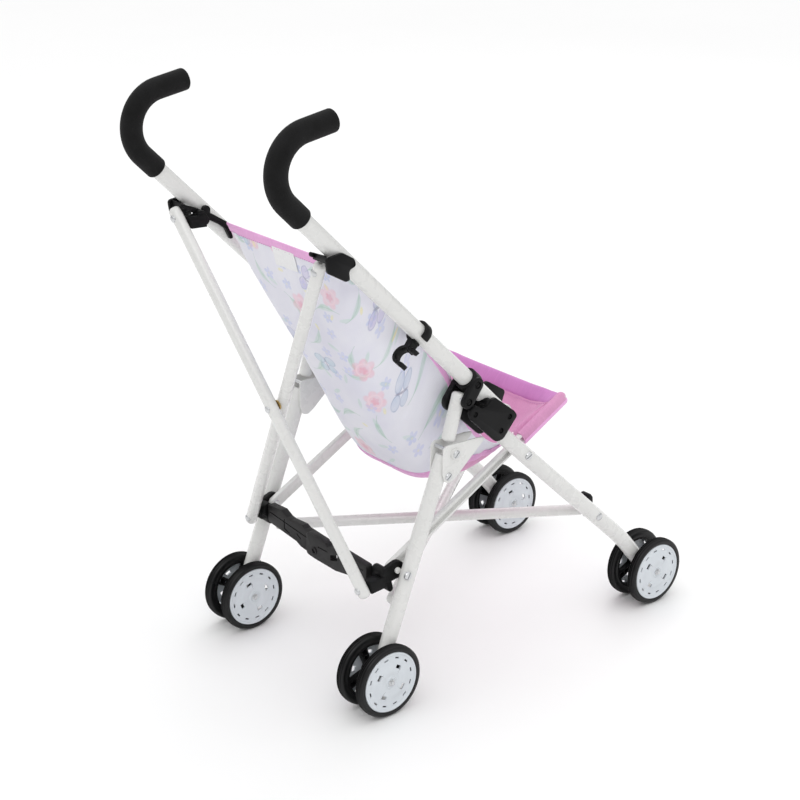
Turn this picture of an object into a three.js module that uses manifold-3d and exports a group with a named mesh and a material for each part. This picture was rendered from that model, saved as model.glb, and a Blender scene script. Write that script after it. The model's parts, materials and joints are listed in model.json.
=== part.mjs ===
// A folding doll stroller with umbrella handles. It faces +X, +Z is up and its wheels turn about Y.
// Each side has a handle tube, a front leg hinged to it at the elbow, a rear leg hinged to a clamp above
// the elbow, and a seat rail that runs from the rear leg past the front leg. Two crossed bars at the back
// and two below the seat tie the sides together and let them close like an umbrella. The seat is a sling.
import * as THREE from "three";
import { mergeVertices } from "three/addons/utils/BufferGeometryUtils.js";
import Module from "manifold-3d";

// ---- Driving dimensions, in millimetres. X counts from the wheelbase's middle until the last lines. ----
const TRACK = 220; // between the two frame planes
const FRAME_Y = TRACK / 2; // from the stroller's middle plane to each frame plane
const WHEELBASE = 357;
const WHEEL_R = 36;
const TYRE_WIDTH = 10;
const TWIN_OFFSET = 14.5; // each wheel's middle, from the leg's plane
const TUBE_R = 8; // handle tube and front leg
const REAR_LEG_R = 7.5;
const REAR_LINK_R = 6.5;
const CROSS_R = 5.5; // crossed bars at the back
const LOW_CROSS_R = 5; // crossed bars below the seat
const GRIP_R = 10.2;
const GAP = 0.3; // between pieces that touch
const PIVOT_R = 3; // pins that the folding pieces turn on
const PIVOT_BORE_R = 3.3;
const AXLE_R = 2;
const AXLE_BORE_R = 2.6;
const CHEEK_HALF = 12.5; // clamp's outer faces, from the frame plane
const SLOT_HALF = 7.8; // slot between the clamp's cheeks, which is also the knee plates' spacing
const BOX_HALF = 14; // elbow box's outer faces, from the frame plane
const BOX_WALL = 3.4;
const KNEE_THICKNESS = 1.8;
const RAIL_FACES = [90, 95.6]; // seat rail's two faces, from the middle plane
const BRACKET_FACES = [97.4, 101.6]; // inner cheeks of top brackets and front blocks, from the middle plane
const OUTER_CHEEK_FACES = [118.4, 122]; // top bracket's outer cheek
const TUBE_SIDES = 14;
const WHEEL_SIDES = 30;
const CENTRE_X = 38; // moves the origin from the wheelbase to the middle of the whole length

// Places in a side plane, as [x, z].
const GRIP_LOW = [-254, 486]; // on the tube, just below the foam
const GRIP_STRAIGHT = 23.5; // straight run of the tube from GRIP_LOW up to the curl
const CURL_R = 34.6; // handle curl, at the tube's centre line
const CURL_TURN = (125.5 * Math.PI) / 180;
const CURL_STRAIGHT = 26; // straight run after the curl, to the tube's end
const GRIP_END = 2.8; // the foam starts this far above GRIP_LOW
const CLAMP_TOP = [-71, 303]; // clamp's centre on the handle tube
const REAR_PIVOT = [-84, 290];
const ELBOW = [-30, 264.5];
const FRONT_TOP = [-45, 254];
const FRONT_BEND = [141, 80.6];
const FRONT_HUB = [WHEELBASE / 2, WHEEL_R];
const REAR_HUB = [-WHEELBASE / 2, WHEEL_R];
const KNEE_UP = [-96, 250];
const KNEE_LOW = [-101, 237];
const LEG_PIVOT = [-149, 132]; // seat rail and bottom bracket, on the rear leg
const RAIL_PIN = [0, 212];
const BRACKET_PIVOT = [-213, 445];
const BRACKET_STRAP = [-202.6, 452]; // the strap that passes over the handle tube
const CROSS_TOP = [-229, 439];
const CROSS_LOW = [-174, 123.5];
const LOW_CROSS_REAR = [-149, 108];
const BLOCK_PIVOT = [102, 117];
const CROSS_PIN_Y = 97; // crossed bars' ends, from the stroller's middle plane
const LOW_PIN_Y = 92.5;
const SPREADER_PIN = [84.8, 138]; // hinge of each half, as [y, z], at its upper outer edge
const CLIP_CENTRE = [-128, 360];

const COLOURS = {
  whiteSteel: { color: 0xe9e9e6, roughness: 0.35, metalness: 0.1 },
  blackPlastic: { color: 0x1c1c1e, roughness: 0.5, metalness: 0 },
  foam: { color: 0x101010, roughness: 0.95, metalness: 0 },
  tyre: { color: 0x1f1f20, roughness: 0.8, metalness: 0 },
  wheelCap: { color: 0xdfe3e6, roughness: 0.25, metalness: 0 },
  zinc: { color: 0xb4b4b4, roughness: 0.35, metalness: 0.9 },
  brass: { color: 0xb08a45, roughness: 0.35, metalness: 0.9 },
  printedFabric: { color: 0xdcd8e8, roughness: 0.9, metalness: 0 },
};

const wasm = await Module();
wasm.setup();

// ---- Small geometry tools ----
function solidOf(geometry) {
  const bare = geometry.index ? geometry.toNonIndexed() : geometry.clone();
  bare.deleteAttribute("normal");
  bare.deleteAttribute("uv");
  const merged = mergeVertices(bare, 1e-4);
  return new wasm.Manifold(
    new wasm.Mesh({
      numProp: 3,
      vertProperties: merged.attributes.position.array,
      triVerts: new Uint32Array(merged.index.array),
    }),
  );
}

function geometryOf(solid) {
  const mesh = solid.getMesh();
  const geometry = new THREE.BufferGeometry();
  geometry.setAttribute("position", new THREE.BufferAttribute(mesh.vertProperties, 3));
  geometry.setIndex(new THREE.BufferAttribute(mesh.triVerts, 1));
  return geometry;
}

function join(...geometries) {
  return geometryOf(geometries.map(solidOf).reduce((sum, next) => sum.add(next)));
}

function cut(geometry, ...tools) {
  return geometryOf(tools.map(solidOf).reduce((rest, tool) => rest.subtract(tool), solidOf(geometry)));
}

// A closed bar along a list of stations, its section a regular polygon.
class StationCurve extends THREE.Curve {
  constructor(stations) {
    super();
    this.stations = stations;
  }
  getPoint(t, target = new THREE.Vector3()) {
    const place = Math.min(Math.max(t, 0), 1) * (this.stations.length - 1);
    const first = Math.min(Math.floor(place), this.stations.length - 2);
    return target.lerpVectors(this.stations[first], this.stations[first + 1], place - first);
  }
  getUtoTmapping(u) {
    return u;
  }
}

function circle(radius, sides) {
  const points = [];
  for (let i = 0; i < sides; i++) {
    const turn = ((i + 0.5) / sides) * 2 * Math.PI;
    points.push(new THREE.Vector2(radius * Math.cos(turn), radius * Math.sin(turn)));
  }
  return new THREE.Shape(points);
}

function tube(stations, radius, sides = TUBE_SIDES) {
  return new THREE.ExtrudeGeometry(circle(radius, sides), {
    steps: stations.length - 1,
    extrudePath: new StationCurve(stations),
  });
}

function rod(from, to, radius, sides = TUBE_SIDES) {
  const along = new THREE.Vector3().subVectors(to, from);
  const geometry = new THREE.CylinderGeometry(radius, radius, along.length(), sides);
  const heading = along.clone().normalize();
  const turn = new THREE.Quaternion().setFromUnitVectors(new THREE.Vector3(0, 1, 0), heading);
  return geometry.applyQuaternion(turn).translate(...from.clone().lerp(to, 0.5).toArray());
}

// A flat plate whose outline is drawn in the side view and whose thickness runs along Y.
function plate(outline, yA, yB) {
  const shape = new THREE.Shape(outline.map(([x, z]) => new THREE.Vector2(x, z)));
  const geometry = new THREE.ExtrudeGeometry(shape, { depth: Math.abs(yB - yA), bevelEnabled: false });
  return geometry.rotateX(Math.PI / 2).translate(0, Math.max(yA, yB), 0);
}

// The outline of a link with round ends around two centres.
function linkOutline([ax, az], [bx, bz], radiusA, radiusB = radiusA, steps = 6) {
  const heading = Math.atan2(bz - az, bx - ax);
  const points = [];
  for (let i = 0; i <= steps; i++) {
    const turn = heading - Math.PI / 2 + (Math.PI * i) / steps;
    points.push([bx + radiusB * Math.cos(turn), bz + radiusB * Math.sin(turn)]);
  }
  for (let i = 0; i <= steps; i++) {
    const turn = heading + Math.PI / 2 + (Math.PI * i) / steps;
    points.push([ax + radiusA * Math.cos(turn), az + radiusA * Math.sin(turn)]);
  }
  return points;
}

const at = ([x, z], y) => new THREE.Vector3(x, y, z);
const pinAcross = ([x, z], yA, yB, radius, sides = 10) => rod(at([x, z], yA), at([x, z], yB), radius, sides);
const crossHole = (place, side, radius, reach = 15) =>
  pinAcross(place, side * (FRAME_Y - reach), side * (FRAME_Y + reach), radius);
const along = ([x, z], angle, distance) => [x + distance * Math.cos(angle), z + distance * Math.sin(angle)];
const angleOf = ([ax, az], [bx, bz]) => Math.atan2(bz - az, bx - ax);

// ---- Directions that several pieces share ----
const HANDLE_ANGLE = -Math.PI / 4; // the handle tube falls forwards at 45 degrees
const FRONT_ANGLE = angleOf(FRONT_TOP, FRONT_BEND);
const CROSS_ANGLE = angleOf(CROSS_TOP, CROSS_LOW);
const LOW_ANGLE = angleOf(BLOCK_PIVOT, LOW_CROSS_REAR);
const FOLDED_LINK_ANGLE = (-56.6 * Math.PI) / 180; // the upper rear link's direction once folded
const handlePoint = (distance) => along(GRIP_LOW, HANDLE_ANGLE, distance);
const distanceOf = ([ax, az], [bx, bz]) => Math.hypot(bx - ax, bz - az);
const HANDLE_LENGTH = distanceOf(GRIP_LOW, ELBOW) - 8.5; // the tube ends just short of the front leg's lug
const BOX_OUT = FRAME_Y + BOX_HALF;
const BOX_IN = FRAME_Y - BOX_HALF;
const handleBore = (side, from, to) =>
  rod(at(handlePoint(from), side * FRAME_Y), at(handlePoint(to), side * FRAME_Y), TUBE_R + GAP);

const stroller = new THREE.Group();
function add(name, geometry, finish) {
  const mesh = new THREE.Mesh(geometry, new THREE.MeshStandardMaterial(COLOURS[finish]));
  mesh.name = name;
  stroller.add(mesh);
}

// ---- Handle tube and foam grip ----
function handleStations(side, from) {
  const y = side * FRAME_Y;
  const stations = [at(handlePoint(from), y)];
  const centre = along(handlePoint(-GRIP_STRAIGHT), Math.PI / 4, CURL_R);
  const steps = 8;
  for (let i = 0; i <= steps; i++) {
    const turn = -3 * (Math.PI / 4) - (CURL_TURN * i) / steps;
    stations.push(at(along(centre, turn, CURL_R), y));
  }
  const last = -3 * (Math.PI / 4) - CURL_TURN;
  const end = along(centre, last, CURL_R);
  stations.push(at(along(end, last - Math.PI / 2, CURL_STRAIGHT), y));
  return stations;
}

function handleTube(side) {
  return tube(handleStations(side, HANDLE_LENGTH), TUBE_R);
}

function foamGrip(side) {
  const stations = handleStations(side, -GRIP_END);
  const last = stations.length - 1;
  const ahead = stations[last].clone().sub(stations[last - 1]).normalize();
  const cap = stations[last].clone().addScaledVector(ahead, 4); // the foam closes over the tube's end
  const grip = tube([...stations, cap], GRIP_R, 16);
  const bore = stations.map((station) => station.clone());
  bore[0] = at(handlePoint(20), side * FRAME_Y);
  bore[last].addScaledVector(ahead, GAP);
  return cut(grip, tube(bore, TUBE_R + GAP));
}

// ---- Hinge clamp: it grips the handle tube and holds the rear leg's upper pivot ----
function hingeClamp(side) {
  const across = [side * (FRAME_Y - CHEEK_HALF), side * (FRAME_Y + CHEEK_HALF)];
  const between = [side * (FRAME_Y - SLOT_HALF), side * (FRAME_Y + SLOT_HALF)];
  const body = plate(linkOutline(CLAMP_TOP, REAR_PIVOT, 10.7, 9), ...across);
  const slot = plate(linkOutline(REAR_PIVOT, along(REAR_PIVOT, -Math.PI * 0.75, 6), 9.5), ...between);
  const folded = along(REAR_PIVOT, FOLDED_LINK_ANGLE, 40);
  const path = plate(linkOutline(REAR_PIVOT, folded, REAR_LINK_R + 0.6), ...between);
  const pin = pinAcross(REAR_PIVOT, side * (FRAME_Y - 9), side * (FRAME_Y + 9), PIVOT_R);
  return join(cut(body, slot, path, handleBore(side, 180, 320)), pin);
}

// ---- Elbow box: two cheeks and a collar on the handle tube; the front leg's lug turns between them ----
function elbowBox(side) {
  const corner = (distance, drop) =>
    along(along(ELBOW, HANDLE_ANGLE, distance), HANDLE_ANGLE - Math.PI / 2, drop);
  const outline = [
    corner(-41, 31), corner(-45, 27), corner(-30, -7), corner(-27, -9.5), corner(3, -7.8),
    corner(7.5, -4), corner(6.5, 26), corner(1, 31),
  ];
  const body = plate(outline, side * BOX_IN, side * BOX_OUT);
  const space = [
    corner(-23, -14), corner(14, -14), corner(14, 34), corner(-60, 34), corner(-60, 12.4), corner(-23, 12.4),
  ];
  const between = plate(space, side * (BOX_IN + BOX_WALL), side * (BOX_OUT - BOX_WALL));
  return cut(body, between, handleBore(side, 230, 340), crossHole(ELBOW, side, PIVOT_BORE_R, 20));
}

const elbowPin = (side) => pinAcross(ELBOW, side * (BOX_IN - 0.6), side * (BOX_OUT - 0.4), PIVOT_R);

// ---- Front leg, with its hinge lug and the pin that carries the seat rail ----
function frontLeg(side) {
  const y = side * FRAME_Y;
  const footAngle = angleOf(FRONT_BEND, FRONT_HUB);
  const bend = 9; // straight tube is used up to this far on each side of the bend
  const before = along(FRONT_BEND, FRONT_ANGLE, -bend);
  const after = along(FRONT_BEND, footAngle, bend);
  const foot = along(FRONT_HUB, footAngle, 7);
  const leg = tube([FRONT_TOP, before, FRONT_BEND, after, foot].map((place) => at(place, y)), TUBE_R);
  const lug = plate(linkOutline(ELBOW, along(FRONT_TOP, FRONT_ANGLE, 12), 7, 7), side * 103, side * 117);
  const railPin = pinAcross(RAIL_PIN, side * 104, side * 96, 4);
  const holes = [crossHole(ELBOW, side, PIVOT_BORE_R), crossHole(FRONT_HUB, side, AXLE_BORE_R)];
  return cut(join(leg, lug, railPin), ...holes);
}

// ---- Rear leg: upper link, two knee plates and the lower leg ----
function upperRearLink(side) {
  const y = side * FRAME_Y;
  const top = along(REAR_PIVOT, angleOf(KNEE_UP, REAR_PIVOT), 5.6);
  const link = rod(at(top, y), at(KNEE_UP, y), REAR_LINK_R);
  return cut(link, crossHole(REAR_PIVOT, side, PIVOT_BORE_R, 12));
}

// The plate's face that touches the leg is at distance yA from the middle plane, the other at yB.
function kneePlate(side, yA, yB) {
  const outline = [
    [-108.5, 246.5], [-105, 250], [-67.5, 248.5], [-59, 247], [-61, 243.5], [-93, 216.5],
    [-99.5, 212.8], [-106.3, 214.8], [-109, 222],
  ];
  return plate(outline, side * yA, side * yB);
}

function rearLeg(side) {
  const y = side * FRAME_Y;
  const heading = angleOf(KNEE_LOW, REAR_HUB);
  const leg = rod(at(KNEE_LOW, y), at(along(REAR_HUB, heading, 7), y), REAR_LEG_R);
  const pivot = pinAcross(LEG_PIVOT, side * 104, side * 88.5, PIVOT_R);
  const head = pinAcross(LEG_PIVOT, side * 115, side * 119.5, 4.5);
  return cut(join(leg, pivot, head), crossHole(REAR_HUB, side, AXLE_BORE_R));
}

// ---- Seat rail: an open channel from the rear leg past the front leg to the seat's front corner ----
const RAIL_ANGLE = angleOf(LEG_PIVOT, RAIL_PIN);
const RAIL_LENGTH = distanceOf(LEG_PIVOT, RAIL_PIN) + 74;
function seatRail(side) {
  const tip = along(LEG_PIVOT, RAIL_ANGLE, RAIL_LENGTH);
  const bar = plate(linkOutline(LEG_PIVOT, tip, 6.2, 4.5), ...RAIL_FACES.map((face) => side * face));
  const grooveFrom = along(LEG_PIVOT, RAIL_ANGLE, 12);
  const grooveTo = along(tip, RAIL_ANGLE, -6);
  const groove = plate(linkOutline(grooveFrom, grooveTo, 3, 3, 2), side * 92, side * 97);
  return cut(bar, groove, pinAcross(LEG_PIVOT, side * 85, side * 99, PIVOT_BORE_R));
}

// ---- Top bracket: two cheeks astride the handle tube, tied above it, and a pad for a rear crossed bar ----
const CROSS_NORMAL = CROSS_ANGLE - Math.PI / 2; // points backwards from the crossed bars
const CROSS_PITCH = 2 * CROSS_R + 1.6; // between the two crossed bars
const padFace = (centre, level) => along(centre, CROSS_NORMAL, level * CROSS_PITCH - CROSS_R - 3 * GAP);

// A block from the root point to the bar's face. Level 0 is the bar nearer the seat, level 1 the one behind.
function crossPad(centre, side, level, root) {
  const face = padFace(centre, level);
  const half = 6;
  const outline = [[face, -half], [root, -half], [root, half], [face, half]];
  const corners = outline.map(([place, distance]) => along(place, CROSS_ANGLE, distance));
  return plate(corners, side * (CROSS_PIN_Y - 6), side * (CROSS_PIN_Y + 5));
}

function topBracket(side, level) {
  const [near, far] = BRACKET_FACES.map((face) => side * face);
  const [cheekNear, cheekFar] = OUTER_CHEEK_FACES.map((face) => side * face);
  const inner = plate(linkOutline(BRACKET_PIVOT, [-216, 437], 9, 5), near, far);
  const inArm = plate(linkOutline(BRACKET_PIVOT, BRACKET_STRAP, 9, 3.2), near, far);
  const cheek = [
    [-242, 452], [-223, 457], [-204, 456.5], [-199.5, 451], [-206, 438], [-216, 430], [-237, 440],
  ];
  const outer = plate(cheek, cheekNear, cheekFar);
  const strap = pinAcross(BRACKET_STRAP, near, cheekFar, 2.8);
  const tail = plate(linkOutline(BRACKET_PIVOT, [-199, 424], 6, 3.5), near, far);
  const boss = pinAcross(BRACKET_PIVOT, side * 121, side * 124, 6);
  const pad = crossPad(CROSS_TOP, side, level, [-218, 437]);
  return join(inner, inArm, outer, strap, tail, boss, pad);
}

// ---- Rear crossed bars, from the top bracket on one side to the bottom bracket on the other ----
function crossBar(side, level) {
  const from = at(along(CROSS_TOP, CROSS_NORMAL, level * CROSS_PITCH), side * CROSS_PIN_Y);
  const to = at(along(CROSS_LOW, CROSS_NORMAL, level * CROSS_PITCH), -side * CROSS_PIN_Y);
  const heading = to.clone().sub(from).normalize();
  const overhang = 6; // past each pin
  const top = from.clone().addScaledVector(heading, -overhang);
  return rod(top, to.clone().addScaledVector(heading, overhang), CROSS_R, 12);
}

// ---- Bottom bracket: turns on the rear leg; holds a rear crossed bar, a low one and half the spreader ----
function bottomBracket(side, level) {
  const cheek = plate(linkOutline(LEG_PIVOT, [-158, 130], 9, 8), side * 96.2, side * 101.6);
  const arm = plate(linkOutline([-162, 132], [-162, 128], 5.2, 5.2), side * 85.5, side * 101);
  const pad = crossPad(CROSS_LOW, side, level, [-162, 124]);
  const foot = plate(linkOutline([-158, 121], [-156, 114.5], 3.4, 3), side * 90, side * 101);
  const body = join(cheek, arm, pad, foot);
  return cut(body, pinAcross(LEG_PIVOT, side * 85, side * 103, PIVOT_BORE_R));
}

// ---- Front block and the crossed bars below the seat ----
const LOW_NORMAL = LOW_ANGLE - Math.PI / 2; // points up from the low crossed bars
const LOW_PITCH = 2 * LOW_CROSS_R + 1.6;
function frontBlock(side, level) {
  const lift = level * LOW_PITCH + LOW_CROSS_R + GAP;
  const outline = linkOutline(BLOCK_PIVOT, along(BLOCK_PIVOT, Math.PI / 2, 14), 6, 5);
  const cheek = plate(outline, ...BRACKET_FACES.map((face) => side * face));
  const overBar = along(BLOCK_PIVOT, LOW_NORMAL, lift + 3);
  const cap = plate(linkOutline(overBar, along(BLOCK_PIVOT, Math.PI / 2, 16), 3, 4), side * 91, side * 101);
  return join(cheek, cap);
}

function lowCrossBar(side, level) {
  const front = along(BLOCK_PIVOT, LOW_NORMAL, level * LOW_PITCH);
  const rear = along(LOW_CROSS_REAR, LOW_NORMAL, level * LOW_PITCH);
  const from = at(front, side * LOW_PIN_Y);
  const to = at(rear, -side * LOW_PIN_Y);
  return rod(from, to, LOW_CROSS_R, 12);
}

// ---- Washers where the crossed bars pass each other ----
function crossWasher(centre, normal, pitch, width) {
  const middle = along(centre, normal, pitch / 2);
  const half = (pitch - width) / 2 - GAP;
  return rod(at(along(middle, normal, -half), 0), at(along(middle, normal, half), 0), 5, 16);
}
const middleOf = ([ax, az], [bx, bz]) => [(ax + bx) / 2, (az + bz) / 2];

// ---- Spreader: two plastic halves that lie side by side, reach past each other and fold up ----
const SPREADER_X = -164; // where the two halves meet
const SPREADER_DEPTH = 22; // from its top edge down
function spreaderHalf(side) {
  const [outer, top] = SPREADER_PIN;
  const near = SPREADER_X + side * GAP;
  const far = SPREADER_X + side * 8;
  const inset = SPREADER_X + side * 2;
  const low = top - SPREADER_DEPTH;
  const bar = plate([[near, top], [far, top], [far, low], [near, low]], side * -9, side * outer);
  const rim = 3; // walls above and below the trough
  const open = far + side;
  const hollow = [[inset, top - rim], [open, top - rim], [open, low + rim], [inset, low + rim]];
  const trough = plate(hollow, side * 4, side * 76);
  return cut(bar, trough);
}

// ---- Transport clip: a collar that snaps on the right handle tube, with a hook below it ----
function transportClip() {
  const width = 13; // along the tube
  const ring = (centre, from, sweep, inner, outer, steps) => {
    const points = [];
    for (let i = 0; i <= steps; i++) {
      points.push(new THREE.Vector2(...along(centre, from + (sweep * i) / steps, outer)));
    }
    for (let i = steps; i >= 0; i--) {
      points.push(new THREE.Vector2(...along(centre, from + (sweep * i) / steps, inner)));
    }
    return new THREE.ExtrudeGeometry(new THREE.Shape(points), { depth: width, bevelEnabled: false });
  };
  // Drawn across the tube: the first number runs outwards along -Y, the second up from the tube's axis.
  const collar = ring([0, 0], Math.PI * 0.17, -Math.PI * 1.45, TUBE_R + GAP, 11.4, 20);
  const hook = ring([1, -20.5], Math.PI * 0.36, Math.PI * 1.4, 8.2, 11.4, 16);
  const lip = new THREE.CylinderGeometry(2.4, 2.4, width, 10);
  lip.rotateX(Math.PI / 2).translate(8.2, -27.2, width / 2);
  const up = new THREE.Vector3(Math.SQRT1_2, 0, Math.SQRT1_2);
  const back = new THREE.Vector3(-Math.SQRT1_2, 0, Math.SQRT1_2);
  const frame = new THREE.Matrix4().makeBasis(new THREE.Vector3(0, -1, 0), up, back);
  frame.setPosition(at(CLIP_CENTRE, -FRAME_Y));
  return join(collar, hook, lip).applyMatrix4(frame);
}

// ---- Wheels ----
function lathe(profile, sides, centre, y) {
  const points = profile.map(([radius, height]) => new THREE.Vector2(radius, height));
  const geometry = new THREE.LatheGeometry([...points, points[0].clone()], sides);
  return geometry.rotateY(Math.PI / sides).translate(centre[0], y, centre[1]);
}

function tyre(centre, y) {
  const flat = 1 / Math.cos(Math.PI / WHEEL_SIDES); // puts each facet's middle at the wheel's radius
  const half = TYRE_WIDTH / 2;
  const profile = [
    [27.7, 0.4 - half], [WHEEL_R - 2.2, -half], [WHEEL_R, 2 - half],
    [WHEEL_R, half - 2], [WHEEL_R - 2.2, half], [27.7, half - 0.4],
  ];
  return lathe(profile.map(([radius, height]) => [radius * flat, height]), WHEEL_SIDES, centre, y);
}

function wheelHub(centre, y, outwards) {
  const profile = [[AXLE_BORE_R, -4], [27.2, -4], [27.2, 4.2], [8, 5.2], [AXLE_BORE_R, 5.2]];
  const facing = outwards > 0 ? profile : profile.map(([radius, height]) => [radius, -height]).reverse();
  return lathe(facing, 20, centre, y);
}

function axle(centre, side) {
  const shaft = pinAcross(centre, side * 88, side * 132, AXLE_R);
  const heads = [[87.2, 88.8], [131.2, 132.8]].map(([a, b]) => pinAcross(centre, side * a, side * b, 4));
  return join(shaft, ...heads);
}

// ---- Seat fabric: one sling from the top brackets down the back and along the seat to its front edge ----
// Each row gives the sling's middle and its side edge in the side view, and half its width.
const SLING = [
  { middle: [-196, 431], edge: [-211, 438], half: 92 },
  { middle: [-179, 378], edge: [-184, 411], half: 94 },
  { middle: [-150, 320], edge: [-150, 376], half: 95 },
  { middle: [-116, 252], edge: [-113, 337], half: 95 },
  { middle: [-94, 210], edge: [-84, 300], half: 94 },
  { middle: [-72, 184], edge: [-58, 262], half: 91 },
  { middle: [-27, 178], edge: [-14, 219], half: 87.5 },
  { middle: [22, 202], edge: [28, 235], half: 87.5 },
  { middle: [66, 245], edge: [66, 247], half: 87.5 },
];
const SLING_THICKNESS = 2.4;

function seatFabric() {
  const curveOf = (pick) => new THREE.CatmullRomCurve3(SLING.map(pick), false, "centripetal");
  const middle = curveOf((row) => at(row.middle, 0));
  const edge = curveOf((row) => at(row.edge, row.half));
  const lengthSteps = 16;
  const widthSteps = 12;
  const point = (i, j) => {
    const across = (2 * j) / widthSteps - 1;
    const inner = middle.getPoint(i / lengthSteps);
    const outer = edge.getPoint(i / lengthSteps);
    const place = inner.clone().lerp(outer, Math.abs(across) ** 4);
    place.y = outer.y * across;
    return place;
  };
  const rows = lengthSteps + 1;
  const columns = widthSteps + 1;
  const low = [];
  const high = [];
  for (let i = 0; i < rows; i++) {
    for (let j = 0; j < columns; j++) {
      const lengthwise = point(Math.min(i + 1, lengthSteps), j).sub(point(Math.max(i - 1, 0), j));
      const crosswise = point(i, Math.min(j + 1, widthSteps)).sub(point(i, Math.max(j - 1, 0)));
      const normal = lengthwise.cross(crosswise).normalize();
      low.push(point(i, j));
      high.push(point(i, j).addScaledVector(normal, SLING_THICKNESS));
    }
  }
  const index = [];
  const quad = (a, b, c, d) => index.push(a, b, c, a, c, d);
  const over = rows * columns;
  for (let i = 0; i < lengthSteps; i++) {
    for (let j = 0; j < widthSteps; j++) {
      const a = i * columns + j;
      quad(a, a + 1, a + columns + 1, a + columns);
      quad(over + a, over + a + columns, over + a + columns + 1, over + a + 1);
    }
    const left = i * columns;
    const right = left + widthSteps;
    quad(left, left + columns, over + left + columns, over + left);
    quad(right, over + right, over + right + columns, right + columns);
  }
  for (let j = 0; j < widthSteps; j++) {
    const last = lengthSteps * columns + j;
    quad(j, over + j, over + j + 1, j + 1);
    quad(last, last + 1, over + last + 1, over + last);
  }
  const geometry = new THREE.BufferGeometry();
  const numbers = [...low, ...high].flatMap((corner) => corner.toArray());
  geometry.setAttribute("position", new THREE.Float32BufferAttribute(numbers, 3));
  geometry.setIndex(index);
  return geometry;
}

// ---- Assembly ----
for (const [name, side] of [["right", -1], ["left", 1]]) {
  const level = name === "right" ? 0 : 1; // the plane of this side's rear crossed bar
  const lowLevel = -level; // the left low crossed bar passes under the right one
  const otherLevel = 1 - level; // the other side's rear crossed bar ends at this side's bottom bracket
  add(`${name}_handle_tube`, handleTube(side), "whiteSteel");
  add(`${name}_foam_grip`, foamGrip(side), "foam");
  add(`${name}_hinge_clamp`, hingeClamp(side), "blackPlastic");
  add(`${name}_elbow_box`, elbowBox(side), "blackPlastic");
  add(`${name}_elbow_pin`, elbowPin(side), "zinc");
  add(`${name}_front_leg`, frontLeg(side), "whiteSteel");
  add(`${name}_upper_rear_link`, upperRearLink(side), "whiteSteel");
  const outerKnee = FRAME_Y + SLOT_HALF;
  const innerKnee = FRAME_Y - SLOT_HALF;
  add(`${name}_outer_knee_plate`, kneePlate(side, outerKnee, outerKnee + KNEE_THICKNESS), "whiteSteel");
  add(`${name}_inner_knee_plate`, kneePlate(side, innerKnee, innerKnee - KNEE_THICKNESS), "whiteSteel");
  add(`${name}_rear_leg`, rearLeg(side), "whiteSteel");
  add(`${name}_seat_rail`, seatRail(side), "whiteSteel");
  add(`${name}_top_bracket`, topBracket(side, level), "blackPlastic");
  add(`${name}_rear_cross_bar`, crossBar(side, level), "whiteSteel");
  add(`${name}_bottom_bracket`, bottomBracket(side, otherLevel), "blackPlastic");
  add(`${name}_front_block`, frontBlock(side, lowLevel), "blackPlastic");
  add(`${name}_low_cross_bar`, lowCrossBar(side, lowLevel), "whiteSteel");
  add(`${name}_spreader_half`, spreaderHalf(side), "blackPlastic");
  for (const [place, hub] of [["front", FRONT_HUB], ["rear", REAR_HUB]]) {
    add(`${name}_${place}_axle`, axle(hub, side), "zinc");
    for (const [where, outwards] of [["outer", side], ["inner", -side]]) {
      const y = side * FRAME_Y + outwards * TWIN_OFFSET;
      add(`${name}_${place}_${where}_tyre`, tyre(hub, y), "tyre");
      add(`${name}_${place}_${where}_wheel`, wheelHub(hub, y, outwards), "wheelCap");
    }
  }
}
const rearMiddle = middleOf(CROSS_TOP, CROSS_LOW);
const lowMiddle = middleOf(BLOCK_PIVOT, LOW_CROSS_REAR);
add("rear_cross_washer", crossWasher(rearMiddle, CROSS_NORMAL, CROSS_PITCH, 2 * CROSS_R), "brass");
add("low_cross_washer", crossWasher(lowMiddle, LOW_NORMAL + Math.PI, LOW_PITCH, 2 * LOW_CROSS_R), "brass");
add("transport_clip", transportClip(), "blackPlastic");
add("seat_fabric", seatFabric(), "printedFabric");

stroller.position.x = CENTRE_X;
export default stroller;
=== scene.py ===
# Doll stroller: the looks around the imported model. Shapes are worked out in millimetres and stored in metres.
import json
import math

import bmesh
import bpy
import numpy as np
from mathutils import Matrix, Vector


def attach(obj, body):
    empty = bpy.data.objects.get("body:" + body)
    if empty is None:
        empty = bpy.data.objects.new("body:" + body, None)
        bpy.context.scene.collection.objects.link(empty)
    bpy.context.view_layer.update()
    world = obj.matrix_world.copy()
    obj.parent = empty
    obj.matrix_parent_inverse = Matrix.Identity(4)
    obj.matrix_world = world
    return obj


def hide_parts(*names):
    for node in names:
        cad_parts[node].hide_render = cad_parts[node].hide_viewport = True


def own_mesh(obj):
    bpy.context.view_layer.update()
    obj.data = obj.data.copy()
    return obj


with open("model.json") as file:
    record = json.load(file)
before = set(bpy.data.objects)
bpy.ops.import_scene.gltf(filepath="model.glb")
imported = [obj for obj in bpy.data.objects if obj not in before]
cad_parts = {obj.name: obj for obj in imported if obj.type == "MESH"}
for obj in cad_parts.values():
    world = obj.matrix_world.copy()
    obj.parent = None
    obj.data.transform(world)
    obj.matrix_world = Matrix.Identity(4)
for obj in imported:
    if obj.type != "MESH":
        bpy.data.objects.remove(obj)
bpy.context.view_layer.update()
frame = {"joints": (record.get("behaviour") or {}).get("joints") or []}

MM = 0.001

# ---- Places in millimetres. A side place is (x, z), with x from the middle of the wheelbase. ----
PIVOT = {j["name"]: Vector(j["pos_m"]) / MM for j in frame["joints"] if "pos_m" in j}
CENTRE_X = (PIVOT["right_front_outer_wheel_spin"].x + PIVOT["right_rear_outer_wheel_spin"].x) / 2


def side_place(joint):
    return (PIVOT[joint].x - CENTRE_X, PIVOT[joint].z)


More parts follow.
